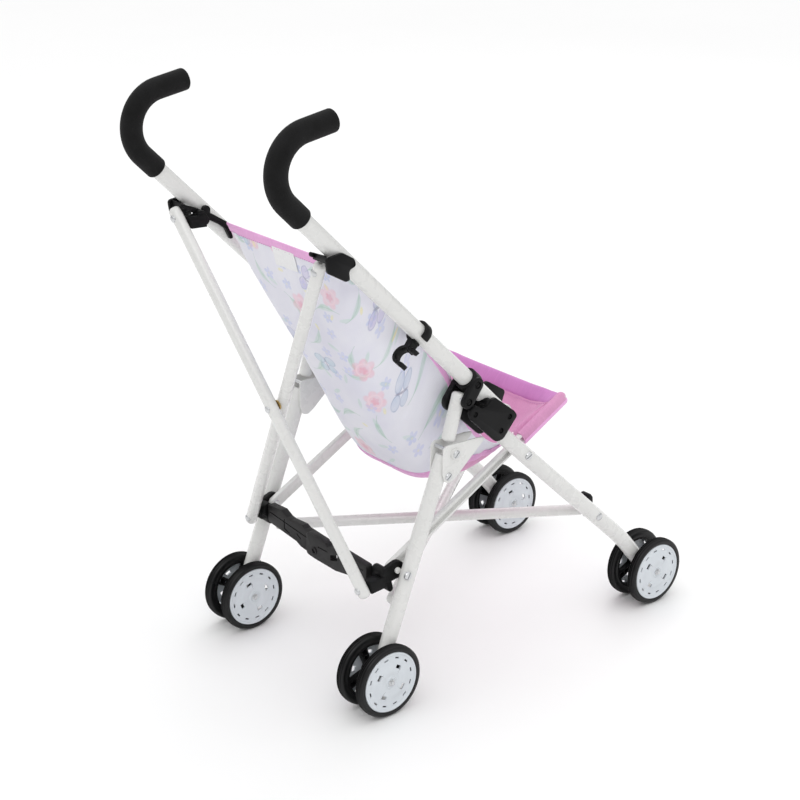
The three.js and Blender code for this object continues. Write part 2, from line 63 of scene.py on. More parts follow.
ELBOW = side_place("right_front_leg_fold")
REAR_PIVOT = side_place("right_rear_leg_fold")
LEG_PIVOT = side_place("right_seat_rail_turn")
BRACKET_PIVOT = side_place("right_top_bracket_turn")
BLOCK_PIVOT = side_place("right_front_block_turn")
CROSS_TOP = side_place("right_rear_cross_bar_close")
CLIP_CENTRE = side_place("transport_clip_turn")
FRONT_HUB = side_place("right_front_outer_wheel_spin")
REAR_HUB = side_place("right_rear_outer_wheel_spin")
HALF_TRACK = PIVOT["left_front_leg_fold"].y
CROSS_PIN_Y = PIVOT["left_rear_cross_bar_close"].y
LOW_PIN_Y = PIVOT["left_low_cross_bar_close"].y

# ---- Sizes of the frame's pieces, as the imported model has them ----
TUBE_R = 8.0
REAR_LEG_R = 7.5
REAR_LINK_R = 6.5
CROSS_R = 5.5
LOW_CROSS_R = 5.0
GRIP_R = 10.2
WHEEL_R = 36.0
GRIP_LOW = (-254.0, 486.0)
GRIP_STRAIGHT = 23.5
GRIP_END = 2.8
CURL_R = 34.6
CURL_TURN = math.radians(125.5)
CURL_STRAIGHT = 26.0
HANDLE_ANGLE = math.radians(-45)
CLAMP_TOP = (-71.0, 303.0)
FRONT_TOP = (-45.0, 254.0)
FRONT_BEND = (141.0, 80.6)
KNEE_UP = (-96.0, 250.0)
KNEE_LOW = (-101.0, 237.0)
RAIL_PIN = (0.0, 212.0)
CROSS_LOW = (-174.0, 123.5)
LOW_CROSS_REAR = (-149.0, 108.0)
CROSS_PITCH = 2 * CROSS_R + 1.6
LOW_PITCH = 2 * LOW_CROSS_R + 1.6
RAIL_REACH = 74


# ---- Plane geometry ----
def at(place, y):
    return Vector((place[0] + CENTRE_X, y, place[1]))


def along(place, angle, distance):
    return (place[0] + distance * math.cos(angle), place[1] + distance * math.sin(angle))


def angle_of(a, b):
    return math.atan2(b[1] - a[1], b[0] - a[0])


def arc(centre, radius, start, end, steps):
    return [along(centre, start + (end - start) * i / steps, radius) for i in range(steps + 1)]


def link_outline(a, b, radius_a, radius_b, steps):
    """A link with a round end about each of two centres."""
    heading = angle_of(a, b)
    quarter = math.pi / 2
    return (arc(b, radius_b, heading - quarter, heading + quarter, steps)
            + arc(a, radius_a, heading + quarter, heading + 3 * quarter, steps))


def rounded(corners, radius):
    """An outline with each corner rounded; a corner may carry its own radius as a third number."""
    steps = 6
    points = []
    count = len(corners)
    for i, corner in enumerate(corners):
        here = Vector(corner[:2])
        before = Vector(corners[i - 1][:2]) - here
        after = Vector(corners[(i + 1) % count][:2]) - here
        own = corner[2] if len(corner) > 2 else radius
        half = before.angle(after) / 2
        reach = min(own / math.tan(half), 0.48 * before.length, 0.48 * after.length)
        first = here + before.normalized() * reach
        last = here + after.normalized() * reach
        for k in range(steps + 1):
            t = k / steps
            points.append(tuple(first * (1 - t) ** 2 + here * 2 * t * (1 - t) + last * t ** 2))
    return points


def quarter_turn(steps):
    return [math.pi / 2 * k / steps for k in range(steps + 1)]


# ---- Meshes ----
def in_scene(name, data):
    obj = bpy.data.objects.new(name, data)
    bpy.context.scene.collection.objects.link(obj)
    return obj


def mesh_of(verts, faces):
    mesh = bpy.data.meshes.new("solid")
    mesh.from_pydata([tuple(v) for v in verts], [], faces)
    mesh.update()
    return mesh


def bevelled(mesh, width, segments=2, least=math.radians(28)):
    body = bmesh.new()
    body.from_mesh(mesh)
    bmesh.ops.recalc_face_normals(body, faces=body.faces)
    edges = [e for e in body.edges if len(e.link_faces) == 2 and e.calc_face_angle(0) > least]
    bmesh.ops.bevel(body, geom=edges, offset=width, segments=segments, profile=0.5, affect="EDGES",
                    clamp_overlap=True)
    body.to_mesh(mesh)
    body.free()
    return mesh


def slab(low, high, bevel):
    """A closed plate between two rings of corners, with its edges rounded unless bevel is 0."""
    mesh = tube_of([low, high])
    return bevelled(mesh, bevel) if bevel else mesh


def prism(outline, y_a, y_b, bevel=0.7):
    """A plate with its outline in the side view and its thickness along Y."""
    return slab([at(p, y_a) for p in outline], [at(p, y_b) for p in outline], bevel)


def across_prism(outline, x_a, x_b, bevel=0.6):
    """A plate with its outline seen from behind, as (y, z), and its thickness along X."""
    return slab([(x_a + CENTRE_X, *p) for p in outline], [(x_b + CENTRE_X, *p) for p in outline], bevel)


def upright_prism(outline, z_a, z_b, bevel=0.4):
    """A plate with its outline as (x, y) about the origin and its thickness along Z."""
    return slab([(*p, z_a) for p in outline], [(*p, z_b) for p in outline], bevel)


def rectangle(x_a, x_b, y_a, y_b):
    return [(x_a, y_a), (x_b, y_a), (x_b, y_b), (x_a, y_b)]


def link(a, b, radius_a, radius_b, y_a, y_b, bevel=0.7, steps=14):
    return prism(link_outline(a, b, radius_a, radius_b, steps), y_a, y_b, bevel)


def lathe(profile, place, axis, segments, closed=False):
    """A turned shape: profile is [(radius, height), ...] about axis from place."""
    axis = Vector(axis).normalized()
    turn = axis.to_track_quat("Z", "Y")
    verts, faces, rings = [], [], []
    for radius, height in profile:
        if radius < 1e-6:
            rings.append([len(verts)])
            verts.append(place + axis * height)
            continue
        ring = []
        for i in range(segments):
            a = 2 * math.pi * i / segments
            ring.append(len(verts))
            verts.append(place + turn @ Vector((radius * math.cos(a), radius * math.sin(a), height)))
        rings.append(ring)
    pairs = list(zip(rings, rings[1:])) + ([(rings[-1], rings[0])] if closed else [])
    for low, high in pairs:
        for i in range(segments):
            j = (i + 1) % segments
            if len(low) == 1:
                faces.append([low[0], high[j], high[i]])
            elif len(high) == 1:
                faces.append([low[i], low[j], high[0]])
            else:
                faces.append([low[i], low[j], high[j], high[i]])
    return facing_out(mesh_of(verts, faces))


def facing_out(mesh):
    body = bmesh.new()
    body.from_mesh(mesh)
    bmesh.ops.recalc_face_normals(body, faces=body.faces)
    body.to_mesh(mesh)
    body.free()
    return mesh


def sweep(path, radius, sides=36, rounding=1.2):
    """A round bar along a path, with rounded ends."""
    points = [Vector(p) for p in path]
    head = (points[1] - points[0]).normalized()
    tail = (points[-1] - points[-2]).normalized()
    ends = []
    for end, inwards in ((points[0], head), (points[-1], -tail)):
        ends.append([(end + inwards * rounding * (1 - math.cos(a)), radius - rounding * (1 - math.sin(a)))
                     for a in quarter_turn(5)])
    stations = [*ends[0], *[(p, radius) for p in points[1:-1]], *ends[1][::-1]]
    across = Vector((0, 0, 1)) if abs(head.y) > 0.99 else Vector((0, 1, 0))
    normal = (across - head * across.dot(head)).normalized()
    rings = []
    for i, (point, size) in enumerate(stations):
        before = stations[max(i - 1, 0)][0]
        after = stations[min(i + 1, len(stations) - 1)][0]
        along_path = (after - before).normalized()
        normal = (normal - along_path * normal.dot(along_path)).normalized()
        other = along_path.cross(normal)
        turns = [2 * math.pi * j / sides for j in range(sides)]
        rings.append([point + normal * size * math.cos(a) + other * size * math.sin(a) for a in turns])
    return tube_of(rings)


def tube_of(rings):
    """A closed skin through rings with the same number of corners."""
    sides = len(rings[0])
    last = (len(rings) - 1) * sides
    faces = [[i + j, i + (j + 1) % sides, i + sides + (j + 1) % sides, i + sides + j]
             for i in range(0, last, sides) for j in range(sides)]
    faces += [list(range(sides))[::-1], list(range(last, last + sides))]
    return facing_out(mesh_of([v for ring in rings for v in ring], faces))


def rod(a, b, radius, sides, rounding):
    return sweep([Vector(a), Vector(b)], radius, sides, rounding)


def merged(*meshes):
    """Several meshes as one, without joining their surfaces."""
    body = bmesh.new()
    for mesh in meshes:
        body.from_mesh(mesh)
    result = bpy.data.meshes.new("merged")
    body.to_mesh(result)
    body.free()
    return result


def boolean(operation, base, tools):
    holder = in_scene("base", base)
    others = [in_scene("tool", tool) for tool in tools]
    for other in others:
        modifier = holder.modifiers.new("boolean", "BOOLEAN")
        modifier.operation = operation
        modifier.solver = "EXACT"
        modifier.object = other
    bpy.context.view_layer.update()
    result = bpy.data.meshes.new_from_object(holder.evaluated_get(bpy.context.evaluated_depsgraph_get()))
    for o in [holder, *others]:
        bpy.data.objects.remove(o)
    return result


def joined(base, *tools):
    return boolean("UNION", base, tools)


def cut(base, *tools):
    return boolean("DIFFERENCE", base, tools)


def pin_across(place, y_a, y_b, radius, sides=32, rounding=0.6):
    return rod(at(place, y_a), at(place, y_b), radius, sides, rounding)


def dip(place, axis, depth, radius, mouth, segments=28):
    """A cutter for the round hollow that takes a screw's head."""
    return lathe([(0, -depth), (radius, -depth), (mouth, 3), (0, 3)], place, axis, segments)


def rivet(place, axis, radius, height):
    """A domed rivet head with a small flat rim."""
    rim = 0.35
    dome = [(radius * math.cos(a), rim + (height - rim) * math.sin(a)) for a in quarter_turn(8)[:-1]]
    return lathe([(0, -0.6), (radius, -0.6), *dome, (0, height)], place, axis, 28)


def slotted_screw(place, axis, radius, height, turn):
    """A pan head with one straight slot."""
    head = lathe([(0, -0.6), (radius, -0.6), (radius, height * 0.45), (radius * 0.86, height * 0.85),
                  (radius * 0.5, height), (0, height)], place, axis, 32)
    slot = upright_prism(rectangle(-radius * 1.2, radius * 1.2, -0.55, 0.55), height * 0.35, height * 2, 0)
    facing = Vector(axis).normalized().to_track_quat("Z", "Y").to_matrix().to_4x4()
    slot.transform(Matrix.Translation(place) @ facing @ Matrix.Rotation(turn, 4, "Z"))
    return cut(head, slot)


# ---- Materials ----
class Graph:
    """Short ways to wire a material's nodes."""

    def __init__(self, name):
        self.material = bpy.data.materials.new(name)
        self.material.use_nodes = True
        self.tree = self.material.node_tree
        self.shader = self.tree.nodes["Principled BSDF"]

    def node(self, kind, **settings):
        made = self.tree.nodes.new(kind)
        for key, value in settings.items():
            setattr(made, key, value)
        return made

    def feed(self, socket, value):
        if isinstance(value, bpy.types.NodeSocket):
            self.tree.links.new(value, socket)
        else:
            socket.default_value = value

    def math(self, operation, *values):
        made = self.node("ShaderNodeMath", operation=operation)
        for i, value in enumerate(values):
            self.feed(made.inputs[i], value)
        return made.outputs[0]

    def times(self, a, b):
        return self.math("MULTIPLY", a, b)

    def plus(self, a, b):
        return self.math("ADD", a, b)

    def minus(self, a, b):
        return self.math("SUBTRACT", a, b)

    def size(self, a):
        return self.math("ABSOLUTE", a)

    def length(self, a, b):
        return self.math("SQRT", self.plus(self.times(a, a), self.times(b, b)))

    def noise(self, vector, scale, detail=3.0):
        made = self.node("ShaderNodeTexNoise")
        for name, value in (("Vector", vector), ("Scale", scale), ("Detail", detail), ("Roughness", 0.55)):
            self.feed(made.inputs[name], value)
        return made.outputs["Fac"]

    def patches(self, vector, scale, detail, low=0.0, high=1.0):
        """Soft patches that wander between two values."""
        return self.span(self.noise(vector, scale, detail), 0.3, 0.7, low, high)

    def set(self, **values):
        """Sets the shader's own numbers. An underscore in a name stands for a space."""
        for name, value in values.items():
            self.shader.inputs[name.replace("_", " ")].default_value = value

    def span(self, value, low, high, to_low, to_high, smooth=False):
        made = self.node("ShaderNodeMapRange", interpolation_type="SMOOTHSTEP" if smooth else "LINEAR")
        for name, number in (("From Min", low), ("From Max", high), ("To Min", to_low), ("To Max", to_high)):
            self.feed(made.inputs[name], number)
        self.feed(made.inputs["Value"], value)
        return made.outputs[0]

    def mix(self, share, a, b):
        made = self.node("ShaderNodeMix", data_type="RGBA")
        self.feed(made.inputs[0], share)
        self.feed(made.inputs[6], a)
        self.feed(made.inputs[7], b)
        return made.outputs[2]

    def bump(self, height, strength, distance):
        made = self.node("ShaderNodeBump")
        made.inputs["Strength"].default_value = strength
        made.inputs["Distance"].default_value = distance
        self.feed(made.inputs["Height"], height)
        self.tree.links.new(made.outputs[0], self.shader.inputs["Normal"])

    def place(self):
        return self.node("ShaderNodeTexCoord").outputs["Object"]

    def cloth_place(self):
        return self.node("ShaderNodeUVMap", uv_map="cloth").outputs[0]


def rgb(r, g, b):
    return (r, g, b, 1.0)


def hard_material(name, slot, colour, roughness, grain, bump=0.04, metallic=0.0, tone=0.06, coat=0.0,
                  specular=0.5):
    """A moulded, painted or plated surface: its tone and roughness wander a little, under a fine grain."""
    g = Graph(name)
    place = g.place()
    darker, lighter = (rgb(*[min(1.0, c * change) for c in colour]) for change in (1 - tone, 1 + tone))
    g.feed(g.shader.inputs["Base Color"], g.mix(g.patches(place, 38.0, 4.0), darker, lighter))
    spread = 0.06
    g.feed(g.shader.inputs["Roughness"], g.patches(place, 90.0, 5.0, roughness - spread, roughness + spread))
    g.set(Metallic=metallic, Coat_Weight=coat, Coat_Roughness=0.12, Specular_IOR_Level=specular)
    g.bump(g.noise(place, grain, 2.0), bump, 0.0002)
    return g.material, slot


def foam_material():
    g = Graph("foam_black")
    place = g.place()
    cells = g.node("ShaderNodeTexVoronoi", feature="F1")
    cells.inputs["Scale"].default_value = 900.0
    g.feed(cells.inputs["Vector"], place)
    tone = g.patches(place, 60.0, 5.0)
    g.feed(g.shader.inputs["Base Color"], g.mix(tone, rgb(0.004, 0.004, 0.004), rgb(0.009, 0.009, 0.0095)))
    g.set(Roughness=0.93, Specular_IOR_Level=0.25, Sheen_Weight=0.05, Sheen_Roughness=0.5)
    g.bump(g.plus(cells.outputs["Distance"], g.times(g.noise(place, 260.0, 4.0), 0.8)), 0.25, 0.0006)
    return g.material, "foam"


def weave_and_creases(g, cloth, crease_scale, crease_height, strength, distance):
    """Plain weave, whose warp and weft pass over each other in turn, with soft creases over it."""
    threads_per_metre = 2400.0
    parts = g.node("ShaderNodeSeparateXYZ")
    g.feed(parts.inputs[0], cloth)
    warp, weft = (g.math("SINE", g.times(parts.outputs[i], threads_per_metre)) for i in (0, 1))
    weave = g.plus(g.times(warp, weft), g.times(g.size(warp), 0.5))
    creases = g.times(g.noise(cloth, crease_scale, 4.0), crease_height)
    g.bump(g.plus(g.times(weave, 0.12), creases), strength, distance)


def cloth_material(name, colour, shade, wrinkle=0.5):
    """Plain coloured cloth, with slubs in the yarn and soft creases."""
    g = Graph(name)
    cloth = g.cloth_place()
    slub = g.noise(cloth, 420.0, 3.0)
    base = g.mix(g.patches(cloth, 28.0, 4.0), rgb(*shade), rgb(*colour))
    thread = rgb(*[min(1.0, c * 1.07) for c in colour])
    g.feed(g.shader.inputs["Base Color"], g.mix(g.span(slub, 0.45, 0.7, 0.0, 0.5), base, thread))
    g.set(Roughness=0.82, Specular_IOR_Level=0.3, Sheen_Weight=0.25, Sheen_Roughness=0.45)
    weave_and_creases(g, cloth, 34.0, 3.0 * wrinkle, 0.35, 0.0011)
    return g.material, "printed_fabric"


class Motif:
    """One scattered motif of the print. A Voronoi cell gives each its centre, tint and turn."""

    def __init__(self, g, cloth, spacing, shift, keep, spin=6.283):
        moved = g.node("ShaderNodeVectorMath", operation="MULTIPLY_ADD")
        g.feed(moved.inputs[0], cloth)
        moved.inputs[1].default_value = (1 / spacing, 1 / spacing, 0)
        moved.inputs[2].default_value = (shift[0], shift[1], 0)
        cells = g.node("ShaderNodeTexVoronoi", feature="F1", voronoi_dimensions="2D")
        cells.inputs["Scale"].default_value = 1.0
        cells.inputs["Randomness"].default_value = 0.75
        g.feed(cells.inputs["Vector"], moved.outputs[0])
        local = g.node("ShaderNodeVectorMath", operation="SUBTRACT")
        g.feed(local.inputs[0], moved.outputs[0])
        g.feed(local.inputs[1], cells.outputs["Position"])
        random = g.node("ShaderNodeSeparateColor")
        g.feed(random.inputs[0], cells.outputs["Color"])
        pick, self.tint, twist = random.outputs[:3]
        turned = g.node("ShaderNodeVectorRotate", rotation_type="Z_AXIS")
        g.feed(turned.inputs["Vector"], local.outputs[0])
        g.feed(turned.inputs["Angle"], g.times(twist, spin))
        parts = g.node("ShaderNodeSeparateXYZ")
        g.feed(parts.inputs[0], turned.outputs[0])
        self.x, self.y = parts.outputs[0], parts.outputs[1]
        self.distance = g.length(self.x, self.y)
        self.angle = g.math("ARCTAN2", self.y, self.x)
        self.kept = g.math("LESS_THAN", pick, keep)


def print_material():
    """Lavender-white cloth with a watercolour print of flowers, leaves, butterflies and drops."""
    g = Graph("printed_cloth")
    cloth = g.cloth_place()
    wash = g.noise(cloth, 16.0, 3.0)
    bleed = g.patches(cloth, 130.0, 4.0, 0.45, 1.0)
    colour = g.mix(g.span(wash, 0.35, 0.65, 0.0, 1.0), rgb(0.76, 0.755, 0.85), rgb(0.84, 0.84, 0.90))

    def paint(motif, value, soft, over, strength):
        """Paints a colour where a motif's value is below zero, with a soft edge."""
        nonlocal colour
        inside = g.times(g.span(value, -soft, soft, 1.0, 0.0, True), motif.kept)
        colour = g.mix(g.times(g.times(inside, bleed), strength), colour, over)

    def petals(motif, count, size, depth):
        wave = g.size(g.math("COSINE", g.times(motif.angle, count / 2)))
        edge = g.math("MULTIPLY_ADD", wave, size * depth, size * (1 - depth))
        return g.minus(motif.distance, edge)

    def ellipse(motif, centre, radii):
        dx = g.math("DIVIDE", g.minus(motif.x, centre[0]), radii[0])
        dy = g.math("DIVIDE", g.minus(motif.y, centre[1]), radii[1])
        return g.minus(g.length(dx, dy), 1.0)

    # Leaves on long stems.
    leaf = Motif(g, cloth, 0.044, (0.3, 0.7), 0.75)
    bend = g.times(g.times(leaf.x, leaf.x), 0.9)
    across = g.size(g.minus(leaf.y, bend))
    green = g.mix(leaf.tint, rgb(0.36, 0.58, 0.47), rgb(0.50, 0.68, 0.57))
    paint(leaf, g.minus(across, g.minus(0.075, bend)), 0.02, green, 0.62)
    stem = g.math("MAXIMUM", g.minus(across, 0.011), g.minus(g.size(leaf.x), 0.42))
    paint(leaf, stem, 0.008, rgb(0.33, 0.52, 0.42), 0.5)

    # Small second leaves.
    bud = Motif(g, cloth, 0.031, (4.1, 2.6), 0.5)
    paint(bud, ellipse(bud, (0.0, 0.0), (0.22, 0.07)), 0.2, rgb(0.47, 0.68, 0.58), 0.5)

    # Pink many-petalled flowers with a deeper heart.
    rose = Motif(g, cloth, 0.058, (2.2, 5.3), 0.62)
    pink = g.mix(rose.tint, rgb(0.86, 0.47, 0.57), rgb(0.90, 0.60, 0.68))
    paint(rose, petals(rose, 6, 0.23, 0.28), 0.025, pink, 0.72)
    ring = g.minus(g.size(g.minus(rose.distance, 0.13)), 0.014)
    paint(rose, ring, 0.015, rgb(0.93, 0.74, 0.80), 0.7)
    paint(rose, petals(rose, 5, 0.085, 0.35), 0.02, rgb(0.78, 0.30, 0.42), 0.6)

    # Blue clusters of small five-petalled flowers.
    bell = Motif(g, cloth, 0.024, (7.7, 1.9), 0.36)
    blue = g.mix(bell.tint, rgb(0.42, 0.50, 0.82), rgb(0.56, 0.58, 0.86))
    paint(bell, petals(bell, 5, 0.27, 0.55), 0.03, blue, 0.55)
    paint(bell, g.minus(bell.distance, 0.05), 0.03, rgb(0.85, 0.80, 0.55), 0.6)

    # Butterflies: four wings with darker rims, and a thin body.
    fly = Motif(g, cloth, 0.066, (9.4, 8.2), 0.55, spin=1.2)
    teal = g.mix(fly.tint, rgb(0.38, 0.66, 0.70), rgb(0.56, 0.50, 0.76))
    fly.x, plain_x = g.size(fly.x), fly.x
    wings = g.math("MINIMUM", ellipse(fly, (0.115, 0.075), (0.115, 0.085)),
                   ellipse(fly, (0.085, -0.075), (0.085, 0.075)))
    paint(fly, wings, 0.1, teal, 0.62)
    rim = g.minus(g.size(g.plus(wings, 0.1)), 0.07)
    paint(fly, rim, 0.06, rgb(0.26, 0.30, 0.46), 0.45)
    fly.x = plain_x
    paint(fly, ellipse(fly, (0.0, 0.0), (0.014, 0.12)), 0.3, rgb(0.22, 0.20, 0.32), 0.7)

    # Yellow drops.
    drop = Motif(g, cloth, 0.034, (12.6, 3.4), 0.3)
    paint(drop, ellipse(drop, (0.0, 0.0), (0.11, 0.05)), 0.25, rgb(0.86, 0.80, 0.42), 0.75)

    g.feed(g.shader.inputs["Base Color"], colour)
    g.set(Roughness=0.8, Specular_IOR_Level=0.3, Sheen_Weight=0.2, Sheen_Roughness=0.5)
    weave_and_creases(g, cloth, 30.0, 1.2, 0.3, 0.001)
    return g.material, "printed_fabric"


WHITE = hard_material("white_enamel", "white_steel", (0.74, 0.74, 0.725), 0.28, grain=500.0, tone=0.02,
                      coat=0.5)
BLACK = hard_material("black_plastic", "black_plastic", (0.005, 0.005, 0.0055), 0.42, grain=1600.0, bump=0.12,
                      tone=0.15, specular=0.16)
CHARCOAL = hard_material("charcoal_plastic", "grey_plastic", (0.016, 0.015, 0.0155), 0.45, grain=1600.0,
                         bump=0.12, tone=0.12, specular=0.22)
TYRE = hard_material("tyre_black", "tyre", (0.005, 0.005, 0.0055), 0.33, grain=1400.0, bump=0.06, tone=0.2,
                     specular=0.3)
CAP = hard_material("wheel_cap", "wheel_cap", (0.66, 0.70, 0.74), 0.2, grain=300.0, bump=0.03, tone=0.02,
                    coat=0.3)
ZINC = hard_material("zinc_steel", "zinc_steel", (0.62, 0.63, 0.64), 0.28, metallic=1.0, grain=1500.0,
                     bump=0.1)
BRASS = hard_material("brass", "brass", (0.55, 0.38, 0.14), 0.35, metallic=1.0, grain=1500.0, bump=0.1)
THREAD = hard_material("stitching", "printed_fabric", (0.60, 0.28, 0.53), 0.8, grain=2500.0, bump=0.2)
FOAM = foam_material()
PRINT = print_material()
BINDING = cloth_material("pink_binding", (0.84, 0.45, 0.74), (0.78, 0.38, 0.68))
BAND = cloth_material("orchid_band", (0.62, 0.25, 0.56), (0.55, 0.21, 0.50))
LINING = cloth_material("pink_lining", (0.70, 0.33, 0.54), (0.62, 0.27, 0.48))
LABEL = cloth_material("white_label", (0.88, 0.88, 0.88), (0.84, 0.84, 0.85), wrinkle=0.2)
WEBBING = cloth_material("black_webbing", (0.015, 0.015, 0.016), (0.01, 0.01, 0.011), wrinkle=0.2)


# ---- Turning meshes into pieces ----
def piece(name, mesh, look, body, *replaced, smooth=math.radians(32)):
    """Scales a mesh to metres, gives it its material, and hangs it on its body."""
    material, slot = look
    if mesh.users:
        mesh = mesh.copy()
    mesh.transform(Matrix.Scale(MM, 4))
    mesh.materials.clear()
    mesh.materials.append(material)
    for polygon in mesh.polygons:
        polygon.material_index = 0
    mesh.shade_smooth()
    mesh.set_sharp_from_angle(angle=smooth)
    mesh.name = name
    obj = in_scene(name, mesh)
    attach(obj, body)
    if replaced:
        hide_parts(*replaced)
    return obj


def finish(node, mesh, look, body):
    """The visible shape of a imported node."""
    return piece(f"{node}_finish", mesh, look, body, node)


SIDES = (("right", -1), ("left", 1))


# ---- Handle tubes and grips ----
def handle_point(distance):
    return along(GRIP_LOW, HANDLE_ANGLE, distance)


def handle_path(y, start):
    """The handle tube's middle line, from start millimetres along it to the end of the curl."""
    path = [at(handle_point(start), y)]
    centre = along(handle_point(-GRIP_STRAIGHT), math.pi / 4, CURL_R)
    first = -3 * math.pi / 4
    last = first - CURL_TURN
    path += [at(p, y) for p in arc(centre, CURL_R, first, last, 30)]
    end = along(centre, last, CURL_R)
    path.append(at(along(end, last - math.pi / 2, CURL_STRAIGHT), y))
    return path


def handles():
    length = math.dist(GRIP_LOW, ELBOW) - 8.5
    for name, side in SIDES:
        y = side * HALF_TRACK
        body = f"{name}_handle"
        finish(f"{name}_handle_tube", sweep(handle_path(y, length), TUBE_R), WHITE, body)
        path = handle_path(y, -GRIP_END)
        ahead = (path[-1] - path[-2]).normalized()
        path[-1] = path[-1] + ahead * 4
        fine = []
        for a, b in zip(path, path[1:]):
            count = max(1, round((b - a).length / 3))
            fine += [a.lerp(b, k / count) for k in range(count)]
        grip = sweep([*fine, path[-1]], GRIP_R, sides=48, rounding=2.2)
        finish(f"{name}_foam_grip", grip, FOAM, body)


# ---- Hinge clamps ----
CLAMP_SCREWS = ((-70.6, 302.5), (-81.0, 288.2))


def hinge_clamps():
    top, low = CLAMP_SCREWS
    for name, side in SIDES:
        body = f"{name}_handle"
        inner, outer = side * (HALF_TRACK - 12.5), side * (HALF_TRACK + 12.5)
        collar = rod(at(along(CLAMP_TOP, HANDLE_ANGLE, -6.5), side * HALF_TRACK),
                     at(along(CLAMP_TOP, HANDLE_ANGLE, 6.5), side * HALF_TRACK), 11.0, 40, 1.2)
        shell = joined(collar, link(top, low, 7.0, 6.8, outer - side * 5, outer, 0.9, 20),
                       link(top, (-84.0, 284.0), 8.0, 9.5, inner, inner + side * 6, 0.9, 20))
        dips = [dip(at(p, outer), (0, side, 0), 1.4, 3.4, 3.9, 32) for p in CLAMP_SCREWS]
        finish(f"{name}_hinge_clamp", cut(shell, *dips), BLACK, body)
        screws = [slotted_screw(at(p, outer - side * 1.3), (0, side, 0), 2.6, 1.0, 0.5) for p in CLAMP_SCREWS]
        piece(f"{name}_clamp_screws", merged(*screws), BLACK, body)
        pin = pin_across(REAR_PIVOT, side * (HALF_TRACK - 9), side * (HALF_TRACK + 9), 3)
        piece(f"{name}_clamp_pin", pin, ZINC, body)


# ---- Elbow boxes ----
ELBOW_CORNERS = [
    (-82.4, 279.5, 7), (-78.9, 270.0, 9), (-47.4, 240.5, 8), (-38.9, 241.5, 7), (-21.4, 261.0, 5),
    (-25.4, 266.5, 5), (-49.4, 285.5, 4), (-54.4, 285.0, 4), (-63.4, 277.5, 5), (-73.9, 284.0, 6)]
ELBOW_TALL = [*ELBOW_CORNERS[:5], (-15.5, 277.5, 4), (-38.0, 292.0, 5), (-47.0, 288.5, 5), *ELBOW_CORNERS[8:]]
ELBOW_SCREWS = ((-74.4, 275.0), (-31.6, 262.3), (-42.2, 250.9))


def elbow_boxes():
    for name, side in SIDES:
        body = f"{name}_handle"
        outer, inner = side * (HALF_TRACK + 14), side * (HALF_TRACK - 14)
        outwards = (0, side, 0)
        shell = joined(prism(rounded(ELBOW_CORNERS, 5), outer - side * 4, outer, 0.9),
                       prism(rounded(ELBOW_TALL, 5), inner, inner + side * 4, 0.9),
                       link((-56, 281), (-51, 276), 4.5, 4.5, inner + side * 1, outer - side * 1, 0.6))
        dips = [dip(at(p, outer), outwards, 1.6, 2.7, 3.1) for p in ELBOW_SCREWS]
        finish(f"{name}_elbow_box", cut(shell, *dips), BLACK, body)
        screws = [slotted_screw(at(p, outer - side * 1.5), outwards, 2.1, 0.9, 0.9) for p in ELBOW_SCREWS]
        piece(f"{name}_elbow_screws", merged(*screws), BLACK, body)
        pin = pin_across(ELBOW, inner, side * (HALF_TRACK + 11), 3)
        pin_head = rivet(at(ELBOW, inner), (0, -side, 0), 4.2, 1.4)
        finish(f"{name}_elbow_pin", merged(pin, pin_head), ZINC, body)


# ---- Legs ----
def smooth_bend(a, bend, b, reach):
    """Three places as a path with a rounded bend."""
    steps = np.linspace(0, 1, 11)
    first = bend.lerp(a, reach / (a - bend).length)
    last = bend.lerp(b, reach / (b - bend).length)
    curve = [first * (1 - t) ** 2 + bend * 2 * t * (1 - t) + last * t ** 2 for t in steps]
    return [a, *curve, b]


def front_legs():
    for name, side in SIDES:
        y = side * HALF_TRACK
        body = f"{name}_front_leg"
        down = angle_of(FRONT_BEND, FRONT_HUB)
        path = smooth_bend(at(FRONT_TOP, y), at(FRONT_BEND, y), at(along(FRONT_HUB, down, 7), y), 16)
        leg = sweep(path, TUBE_R)
        tilt = angle_of(FRONT_TOP, FRONT_BEND)
        lug = link(ELBOW, along(FRONT_TOP, tilt, 12), 7, 7, side * 103, side * 117, 0.6)
        collar = pin_across(RAIL_PIN, side * 104, side * 96.2, 4, rounding=0.4)
        finish(body, joined(leg, lug, collar), WHITE, body)
        heads = [slotted_screw(at(RAIL_PIN, side * (HALF_TRACK + 7.6)), (0, side, 0), 4.2, 1.9, tilt + 1.2),
                 rivet(at(along(BLOCK_PIVOT, tilt, -2), side * (HALF_TRACK + 7.6)), (0, side, 0), 4.0, 1.7)]
        piece(f"{name}_front_leg_screws", merged(*heads), ZINC, body)


KNEE_CORNERS = [
    (-108.7, 247.5, 4), (-105.0, 250.3, 5), (-67.5, 249.0, 6), (-58.0, 247.5, 4), (-61.0, 243.5, 4),
    (-92.7, 216.8, 8), (-99.5, 212.6, 6), (-106.5, 214.2, 6), (-109.2, 222.0, 5)]
KNEE_SCREW = (-95.1, 240.6)


